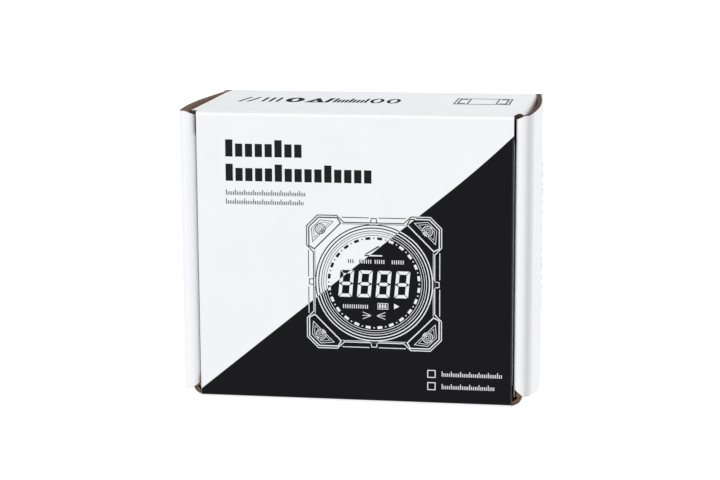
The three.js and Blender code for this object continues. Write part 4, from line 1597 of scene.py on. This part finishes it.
    def make_wall_marks(self) -> None:
        """A column of plain grey dashes printed on the right side wall."""
        sketch = Sketch()
        wall = self.walls["right"]
        stations = [wall.station(share) for share in self.dash_shares]
        for step in range(self.dash_count):
            foot = Vector((0, 0, self.dash_foot + step * self.dash_pitch))
            near, far = ([s.at(depth) + foot for s in stations] for depth in self.dash_depths)
            height = self.dash_height if step % self.long_dash_every else self.long_dash_height
            sketch.strip(near, far, (0, 0, height))
        ink = MouldedPlastic("side_ink", (0.2, 0.2, 0.21), roughness=0.6, height=0.002).material()
        place_piece(sketch.piece("side_wall_dashes", ink), "carton")


@dataclass(frozen=True)
class SevenSegments:
    """Plain seven-segment digits, leaning a little. Sizes are in the units of what carries them."""

    width: float
    height: float
    stroke: float
    lean: float = 0.09
    gap: float = 0.2

    def number(self, digits: Sequence[str], x: float, y: float, pitch: float) -> list[list[Flat]]:
        """The outlines of a row of digits.

        Args:
            digits: The lit segments of each digit, by letter.
            x: The first digit's left edge.
            y: The digits' foot.
            pitch: The distance from one digit to the next.

        Returns:
            One outline for each lit segment.
        """
        parts = self.segments()
        return [
            [(x + place * pitch + a + b * self.lean, y + b) for a, b in parts[letter]]
            for place, lit in enumerate(digits)
            for letter in lit
        ]

    def segments(self) -> dict[str, list[Flat]]:
        """The outlines of one upright digit's segments.

        Returns:
            Each outline, by its segment's letter.
        """
        w, h, s, g = self.width, self.height, self.stroke, self.gap
        middle, half = h / 2, s / 2

        def level(y: float, rise: float) -> list[Flat]:
            """A level segment whose outer edge lies at y."""
            return [(2 * g, y), (w - 2 * g, y), (w - s - g / 2, y + rise * s), (s + g / 2, y + rise * s)]

        def upright(x: float, way: float, low: float, high: float) -> list[Flat]:
            """An upright segment.

            Args:
                x: Where its outer edge lies.
                way: The way from there to its inner edge.
                low: The height of its lower end.
                high: The height of its upper end.

            Returns:
                Its outline.
            """
            inner = x + way * s
            low_cut = s if low == 0 else half
            high_cut = s if high == h else half
            return [(x, low + g), (inner, low + low_cut + g), (inner, high - high_cut - g), (x, high - g)]

        tips = [(half + g, middle), (w - half - g, middle)]
        upper = [(s + g, middle + half), (w - s - g, middle + half)]
        lower = [(w - s - g, middle - half), (s + g, middle - half)]
        return {
            "a": level(h, -1), "d": level(0, 1), "g": [tips[0], *upper, tips[1], *lower],
            "f": upright(0, 1, middle, h), "e": upright(0, 1, 0, middle),
            "b": upright(w, -1, middle, h), "c": upright(w, -1, 0, middle),
        }


def bar(x: float, y: float, width: float, height: float, lean: float = 0) -> list[Flat]:
    """An upright bar's outline, with its lower left corner at x, y and its top moved aside by lean."""
    return [(x, y), (x + width, y), (x + width + lean, y + height), (x + lean, y + height)]


def ring(centre: Flat, aside: float, above: float, count: int) -> list[Flat]:
    """Points round a centre, at most so far aside from it and above it."""
    turns = [FULL_TURN * step / count for step in range(count)]
    return [(centre[0] + aside * math.cos(turn), centre[1] + above * math.sin(turn)) for turn in turns]


def dash(angle: float, near: float, far: float, half_angle: float) -> list[Flat]:
    """A dash that points out from a centre.

    Args:
        angle: The angle that it points along.
        near: Its inner end's distance from the centre.
        far: Its outer end's distance.
        half_angle: Half the angle that it takes up.

    Returns:
        Its outline.
    """
    ends = ((near, -half_angle), (far, -half_angle), (far, half_angle), (near, half_angle))
    return [(radius * math.cos(angle + turn), radius * math.sin(angle + turn)) for radius, turn in ends]


@dataclass(frozen=True)
class Tick:
    """The sizes of a row's ticks, with a taller one at every fifth place. In millimetres."""

    pitch: float
    width: float
    height: float
    tall: float
    group: int = 5


@dataclass
class LidPrint:
    """The lid's print: a plain graduated scale, fine ticks, two squares and a figure of the gauge.

    Rows are given by their left end, their foot and their number of ticks, and rings by their radius and
    line width. The figure's sizes are the gauge's own, about its dial.
    """

    front: float = -36.0
    proud: float = 0.03
    sunk: float = 0.02
    bold_tick: Tick = Tick(pitch=3.72, width=2.75, height=4.9, tall=6.4)
    bold_rows: tuple[tuple[float, float, int], ...] = ((-48.1, 93.3, 8), (-48.1, 84.2, 15))
    fine_tick: Tick = Tick(pitch=0.69, width=0.3, height=1.3, tall=2.0)
    fine_rows: tuple[tuple[float, float, int], ...] = (
        (-48.1, 78.9, 44), (-48.1, 75.5, 43), (32.9, 12.0, 33), (32.9, 7.2, 29),
    )
    square_feet: tuple[float, ...] = (11.4, 6.7)
    square_left: float = 27.5
    square_width: float = 3.1
    square_height: float = 3.0
    square_line: float = 0.32
    centre: Flat = (7.5, 46.8)
    scale: float = 0.82
    half: float = 31.0
    foot: float = 16.8
    chamfer: float = 5.2
    floor: float = 27.9
    flank: float = 13.6
    body_line: float = 0.34
    key_line: float = 0.3
    frame_line: float = 0.22
    dial_ring_points: int = 96
    screw_ring_points: int = 24
    dial_rings: tuple[Flat, ...] = ((27.0, 0.5), (25.6, 0.5), (24.2, 0.3), (23.2, 0.22), (22.1, 0.22))
    rail_gap: float = 2.2
    rail_lows: Flat = (29.8, 26.9)
    rail_highs: Flat = (30.15, 27.15)
    screw_centre: Flat = (24.5, 24.5)
    screw_rings: tuple[Flat, ...] = ((2.5, 0.3), (1.6, 0.2), (0.8, 0.2))
    dash_radius: float = 20.7
    dash_count: int = 24
    sign_rows: tuple[tuple[float, float, int], ...] = (
        (-11.8, 9.0, 3), (-6.6, 9.0, 6), (0.4, 9.0, 5), (8.2, 9.0, 6), (-14.2, -11.9, 12),
    )
    ink: bpy.types.Material = field(init=False)

    def __post_init__(self) -> None:
        """Makes the ink."""
        self.ink = InkFinish("lid_ink").material()

    @property
    def push(self) -> Triple:
        """The way and distance that the ink stands out of its own sunk underside."""
        return 0, -(self.proud + self.sunk), 0

    def flat(self, points: Iterable[Flat]) -> list[Triple]:
        """Points of the print on the lid's face."""
        return [(x, self.front + self.sunk, z) for x, z in points]

    def drawn(self, points: Iterable[Flat], quarters: int = 0) -> list[Triple]:
        """Points of the figure, drawn to the print's scale.

        Args:
            points: The points, in the gauge's own sizes about its dial.
            quarters: How many quarter turns they are turned by.

        Returns:
            The points on the lid's face.
        """
        middle_x, middle_z = self.centre
        turned = (quarter_turned(point, quarters) for point in points)
        return self.flat((middle_x + x * self.scale, middle_z + z * self.scale) for x, z in turned)

    def make(self) -> None:
        """Makes every printed piece."""
        self.make_rows("lid_scale_bold", self.bold_tick, self.bold_rows)
        self.make_rows("lid_scale_fine", self.fine_tick, self.fine_rows)
        self.make_squares()
        self.make_figure_body()
        self.make_figure_corners()
        self.make_figure_display()

    def finish(self, sketch: Sketch, name: str) -> None:
        """Turns one sketch of ink into a piece on the lid."""
        place_piece(sketch.piece(name, self.ink), "lid")

    def make_rows(self, name: str, tick: Tick, rows: Iterable[tuple[float, float, int]]) -> None:
        """Rows of ticks, as one piece.

        Args:
            name: The piece's name.
            tick: The ticks' sizes.
            rows: Each row's left end, its foot and its number of ticks.
        """
        sketch = Sketch()
        for left, low, count in rows:
            for step in range(count):
                height = tick.height if step % tick.group else tick.tall
                corners = bar(left + step * tick.pitch, low, tick.width, height)
                sketch.slab(self.flat(corners), self.push)
        self.finish(sketch, name)

    def make_squares(self) -> None:
        """Two plain open squares."""
        sketch = Sketch()
        for low in self.square_feet:
            corners = bar(self.square_left, low, self.square_width, self.square_height)
            sketch.border(self.flat(corners), self.square_line, self.push)
        self.finish(sketch, "lid_squares")

    def make_figure_body(self) -> None:
        """The gauge's outline, channels, keys and the rings round its dial."""
        sketch = Sketch()
        side = [(self.floor, self.flank), (self.half, self.foot), (self.half, self.half - self.chamfer)]
        corner = side + [(z, x) for x, z in reversed(side)]
        outline = [quarter_turned(point, quarter) for quarter in range(4) for point in corner]
        sketch.border(self.drawn(outline), self.body_line, self.push)
        for radius, width in self.dial_rings:
            circle = ring((0, 0), radius, radius, self.dial_ring_points)
            sketch.border(self.drawn(circle), width * self.scale, self.push)
        key = [(-1.6, 27.5), (-1.3, 29.9), (1.3, 29.9), (1.6, 27.5)]
        reach = self.flank + 1
        for quarter in range(4):
            sketch.border(self.drawn(key, quarter), self.key_line, self.push)
            for low, high in zip(self.rail_lows, self.rail_highs):
                for left in (-reach, self.rail_gap):
                    rail = bar(left, low, reach - self.rail_gap, high - low)
                    sketch.slab(self.drawn(rail, quarter), self.push)
        self.finish(sketch, "lid_figure_body")

    def make_figure_corners(self) -> None:
        """The gauge's four corner pads with their pockets and screws."""
        sketch = Sketch()
        pad = [(30.0, 16.4), (30.0, 25.4), (25.4, 30.0), (16.4, 30.0), (14.9, 27.2), (27.2, 14.9)]
        pocket = [(28.1, 18.2), (28.7, 24.6), (24.6, 28.7), (18.2, 28.1)]
        recess = [(27.3, 20.2), (27.7, 24.3), (24.3, 27.7), (20.2, 27.3)]
        for quarter in range(4):
            for outline, width in ((pad, 0.42), (pocket, 0.22), (recess, 0.16)):
                sketch.border(self.drawn(outline, quarter), width, self.push)
            centre = quarter_turned(self.screw_centre, quarter)
            for radius, width in self.screw_rings:
                circle = ring(centre, radius, radius, self.screw_ring_points)
                sketch.border(self.drawn(circle), width, self.push)
        self.finish(sketch, "lid_figure_corners")

    def make_figure_display(self) -> None:
        """The figure's display: dashes round the dial, four plain digits and small signs."""
        sketch = Sketch()
        radius = self.dash_radius
        for step in range(self.dash_count):
            for middle, half_angle, half in ((step + 0.5, 0.055, 0.6), (step, 0.016, 0.25)):
                angle = FULL_TURN * middle / self.dash_count
                sketch.slab(self.drawn(dash(angle, radius - half, radius + half, half_angle)), self.push)
        segments = SevenSegments(width=6.3, height=12.4, stroke=1.5)
        digits = segments.number([ALL_SEGMENTS] * 4, x=-16.4, y=-6.6, pitch=8.55)
        signs = [
            bar(left + step, low, 0.4, 1.8) for left, low, count in self.sign_rows for step in range(count)
        ]
        cells = [bar(2.3 + cell * 1.25, -11.4, 0.8, 1.7) for cell in range(3)]
        for corners in (*digits, *signs, *cells):
            sketch.slab(self.drawn(corners), self.push)
        sketch.border(self.drawn(bar(1.6, -12.0, 4.9, 2.9)), self.frame_line, self.push)
        pointer = [(9.2, -11.8), (11.6, -10.5), (9.2, -9.2)]
        near, far, low, high = 1.2, 5.2, -15.2, -14.9
        arms = [
            [(side * near, low), (side * far, low + rise), (side * far, high + rise), (side * near, high)]
            for side in (-1, 1)
            for rise in (-1.6, 0, 1.6)
        ]
        foot = bar(-4.2, 12.4, 8.0, 0.6)
        slope = [(-4.2, 13.3), (-3.3, 13.3), (2.6, 16.8), (2.2, 17.3)]
        for corners in (pointer, *arms, foot, slope):
            sketch.slab(self.drawn(corners), self.push)
        self.finish(sketch, "lid_figure_display")


@dataclass
class TopPrint:
    """Plain dark marks on the top wall, and a small side view of the gauge. Sizes in millimetres.

    A ring is given by its middle's x, its reach to each side and its line's width.
    """

    top: float = 110.0
    proud: float = 0.03
    sunk: float = 0.02
    foot: float = -4.2
    height: float = 16.0
    triangle_line: float = 2.0
    ring_points: int = 40
    ring_share: float = 0.45
    rings: tuple[Triple, ...] = ((-29.1, 3.5, 2.3), (3.0, 2.6, 1.3), (9.4, 2.6, 1.3))

    @property
    def push(self) -> Triple:
        """The way and distance that the ink stands out of its own sunk underside."""
        return 0, 0, self.proud + self.sunk

    def flat(self, points: Iterable[Flat]) -> list[Triple]:
        """Points of the print on the top wall."""
        return [(x, self.foot + y, self.top - self.sunk) for x, y in points]

    def finish(self, sketch: Sketch, name: str, ink: str, colour: Colour) -> None:
        """Turns one sketch into a piece of ink on the top wall.

        Args:
            sketch: The sketch.
            name: The piece's name.
            ink: The ink's name.
            colour: The ink's colour.
        """
        material = MouldedPlastic(ink, colour, roughness=0.8, height=0.002, gloss=0.05).material()
        place_piece(sketch.piece(name, material), "carton")

    def make(self) -> None:
        """Makes the marks and the side view."""
        self.make_marks()
        self.make_side_view()

    def make_marks(self) -> None:
        """A row of plain shapes: leaning and upright strokes, rings, a triangle and ticks."""
        sketch = Sketch()
        height = self.height
        strokes = [bar(x, 1, 1.1, height - 2, 2.2) for x in (-50.5, -47.0)]
        strokes += [bar(-41.5 + step * 2.8, 1.5, 1.1, height - 3) for step in range(3)]
        strokes.append(bar(-16.9, 1.2, 1.7, height - 2.4, 0.8))
        ticks = [bar(-13.6 + step * 1.5, 1.8, 1.0, height * (0.55 if step % 4 else 0.8)) for step in range(9)]
        for corners in strokes + ticks:
            sketch.slab(self.flat(corners), self.push)
        triangle = [(-24.4, 1), (-16.8, 1), (-20.6, height - 0.5)]
        sketch.border(self.flat(triangle), self.triangle_line, self.push)
        for x, radius, width in self.rings:
            corners = ring((x, height / 2), radius, height * self.ring_share, self.ring_points)
            sketch.border(self.flat(corners), width, self.push)
        self.finish(sketch, "top_marks", "top_ink", (0.01, 0.01, 0.011))

    def make_side_view(self) -> None:
        """The gauge seen from its side, with its feet and its keys."""
        sketch = Sketch()
        left, right, low, high = 33.0, 54.5, 1.2, 19.7
        thick, thin = 1.1, 0.5
        uprights = (left, right - 0.55, left + 1.3, right - 1.8, left + 5.0, right - 5.5)
        lines = [bar(left, y, right - left, thick) for y in (low, high - thick)]
        lines += [bar(x, low, thin, high - low) for x in uprights]
        lines += [bar(x, y, 3.0, 1.8) for x in (left + 1.3, right - 4.3) for y in (low + 2.0, high - 3.8)]
        for corners in lines:
            sketch.slab(self.flat(corners), self.push)
        self.finish(sketch, "top_side_view", "top_line_ink", (0.04, 0.04, 0.043))


@dataclass
class FoamNest:
    """The foam that holds the gauge: copies of its solids with rounded cut edges. Millimetres."""

    edge: float = 0.5
    edge_faces: int = 3
    merge: float = 0.01
    flat_angle: float = 1.0

    def make(self) -> None:
        """Makes both foam pieces."""
        material = FoamFinish().material()
        for node in ("foam_frame", "foam_base"):
            sketch = Sketch()
            mesh = sketch.mesh
            mesh.from_mesh(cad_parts[node].data)
            bmesh.ops.scale(mesh, verts=mesh.verts, vec=Vector.Fill(3, 1 / MILLIMETRE))
            bmesh.ops.remove_doubles(mesh, verts=mesh.verts, dist=self.merge)
            flat = math.radians(self.flat_angle)
            bmesh.ops.dissolve_limit(mesh, angle_limit=flat, verts=mesh.verts, edges=mesh.edges)
            sketch.soften(self.edge, self.edge_faces)
            piece = place_piece(sketch.piece(node + "_cut", material), "carton")
            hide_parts(node)


@dataclass
class Gauge:
    """The gauge itself. Depths run back from its front; millimetres, and angles in radians."""

    lcd_depth: float = 5.5
    lit_sunk: float = 0.02
    lit_proud: float = 0.04
    dash_count: int = 24
    dash_near: float = 19.6
    dash_far: float = 20.7
    dash_half_angle: float = 0.06
    mark_count: int = 72
    long_mark_every: int = 6
    mark_far: float = 24.1
    mark_near: float = 22.9
    long_mark_near: float = 22.0
    mark_half: float = 0.12
    long_mark_half: float = 0.22
    mark_thickness: float = 0.09
    slope_radius: float = 24.5
    slope_depth: float = 1.83
    slope_run: float = 2.9
    slope_drop: float = 1.4
    digit_glow: Colour = (0.85, 0.93, 1.0)
    dash_glow: Colour = (0.2, 0.95, 0.4)
    front: float = field(init=False)
    centre_z: float = field(init=False)

    def __post_init__(self) -> None:
        """Reads where the gauge lies."""
        self.front = node_box("corner_pad_top_right")[0].y
        case_low, case_high = node_box("front_case")
        self.centre_z = (case_low.z + case_high.z) / 2

    def make(self) -> None:
        """Dresses every piece of the gauge and adds its display and dial marks."""
        self.dress_body()
        self.dress_corners()
        self.dress_inside()
        self.make_display()
        self.make_dial_marks()

    def dress_body(self) -> None:
        """The cases, the dial, the keys and the magnets."""
        case = MouldedPlastic("case_plastic", (0.012, 0.0125, 0.014), grain=6).material()
        for node in ("front_case", "rear_case"):
            dress(node, case, edge=0.25)
        magnet = BrushedMetal("magnet_nickel", (0.66, 0.66, 0.67), along=(1, 1, 1), roughness=0.12).material()
        for side in ("top", "left", "bottom", "right"):
            for letter in ("a", "b"):
                dress(f"magnet_{side}_{letter}", magnet, edge=0.12)
        bezel = BrushedMetal("bezel_aluminium", (0.42, 0.43, 0.45), along=(1, 0.05, 1), roughness=0.22)
        dress("bezel_ring", bezel.material(), edge=0.1)
        ring_plastic = MouldedPlastic(
            "dial_ring_plastic", (0.008, 0.008, 0.009), roughness=0.35, grain=8, height=0.006,
        )
        dress("dial_ring", ring_plastic.material(), edge=0.06)
        dress("dial_window", ClearGlass().material())
        rubber = MouldedPlastic("key_rubber", (0.03, 0.03, 0.033), roughness=0.62, grain=7, height=0.015)
        key = rubber.material()
        for node in ("power_key", "hold_key", "zero_key"):
            dress(node, key, edge=0.2)

    def dress_corners(self) -> None:
        """The corner pads and their screws."""
        pad = BrushedMetal("pad_aluminium", (0.6, 0.61, 0.63)).material()
        screw = BrushedMetal("screw_steel", (0.5, 0.5, 0.52), along=(1, 1, 1), roughness=0.3).material()
        for level in LEVELS:
            for name, _ in SIDES:
                dress(f"corner_pad_{level}_{name}", pad, edge=0.15)
                dress(f"corner_screw_{level}_{name}", screw, edge=0.08)

    def dress_inside(self) -> None:
        """The display, the circuit board and what it carries."""
        dress("lcd_panel", DarkDisplay().material(), edge=0.05)
        backlight = MouldedPlastic(
            "backlight_plastic", (0.8, 0.82, 0.85), roughness=0.4, grain=3, height=0.004,
        )
        dress("lcd_backlight", backlight.material(), edge=0.1)
        dress("main_board", CircuitBoard().material())
        epoxy = MouldedPlastic("chip_epoxy", (0.012, 0.012, 0.013), roughness=0.45, grain=9, height=0.008)
        chip = epoxy.material()
        for node in ("tilt_sensor", "processor_chip", "power_switch", "hold_switch", "zero_switch"):
            dress(node, chip, edge=0.1)
        pouch = BrushedMetal("battery_pouch", (0.55, 0.57, 0.6), along=(1, 1, 1), roughness=0.4)
        dress("battery_cell", pouch.material(), edge=0.5)
        port = BrushedMetal("port_steel", (0.58, 0.58, 0.6), along=(1, 1, 0.05), roughness=0.25)
        dress("charging_port", port.material())

    def flat(self, points: Iterable[Flat], depth: float) -> list[Triple]:
        """Points about the dial's centre, at a depth behind the gauge's front."""
        return [(x, self.front + depth, self.centre_z + z) for x, z in points]

    def make_display(self) -> None:
        """The lit numbers and dashes on the liquid crystal panel."""
        segments = SevenSegments(width=6.3, height=12.0, stroke=1.4)
        digits = segments.number([ZERO_SEGMENTS] * 4, x=-16.4, y=-6.2, pitch=8.55)
        digits.append(bar(-0.9, -6.2, 1.0, 1.0))
        turns = [FULL_TURN * (step + 0.5) / self.dash_count for step in range(self.dash_count)]
        dashes = [dash(turn, self.dash_near, self.dash_far, self.dash_half_angle) for turn in turns]
        for name, outlines, finish in (
            ("display_digits", digits, LitSegment("lit_white", self.digit_glow)),
            ("display_dashes", dashes, LitSegment("lit_green", self.dash_glow)),
        ):
            sketch = Sketch()
            for corners in outlines:
                lit = self.flat(corners, self.lcd_depth - self.lit_sunk)
                sketch.slab(lit, (0, -(self.lit_sunk + self.lit_proud), 0))
            place_piece(sketch.piece(name, finish.material()), "gauge")

    def make_dial_marks(self) -> None:
        """White graduations on the dial ring's slope."""
        sketch = Sketch()
        for step in range(self.mark_count):
            turn = FULL_TURN * step / self.mark_count
            long = step % self.long_mark_every == 0
            near = self.long_mark_near if long else self.mark_near
            half = self.long_mark_half if long else self.mark_half
            out = Vector((math.cos(turn), 0, math.sin(turn)))
            side = Vector((-math.sin(turn), 0, math.cos(turn))) * half
            corners = []
            for radius, way in ((near, -1), (self.mark_far, -1), (self.mark_far, 1), (near, 1)):
                slope = self.slope_drop * (self.slope_radius - radius) / self.slope_run
                base = Vector((0, self.front + self.slope_depth + slope, self.centre_z))
                corners.append(base + out * radius + side * way)
            sketch.slab(corners, (0, -self.mark_thickness, 0))
        white = MouldedPlastic("dial_paint", (0.8, 0.8, 0.8), height=0.004).material()
        place_piece(sketch.piece("dial_graduations", white), "gauge")


def main() -> None:
    """Builds the whole scene in order."""
    logging.basicConfig(level=logging.INFO, format="%(name)s: %(message)s")
    PhotoView().make()
    Studio().make()
    for part in (Carton(), LidPrint(), TopPrint(), FoamNest(), Gauge()):
        log.info("building %s", type(part).__name__)
        part.make()


if __name__ == "__main__":
    main()
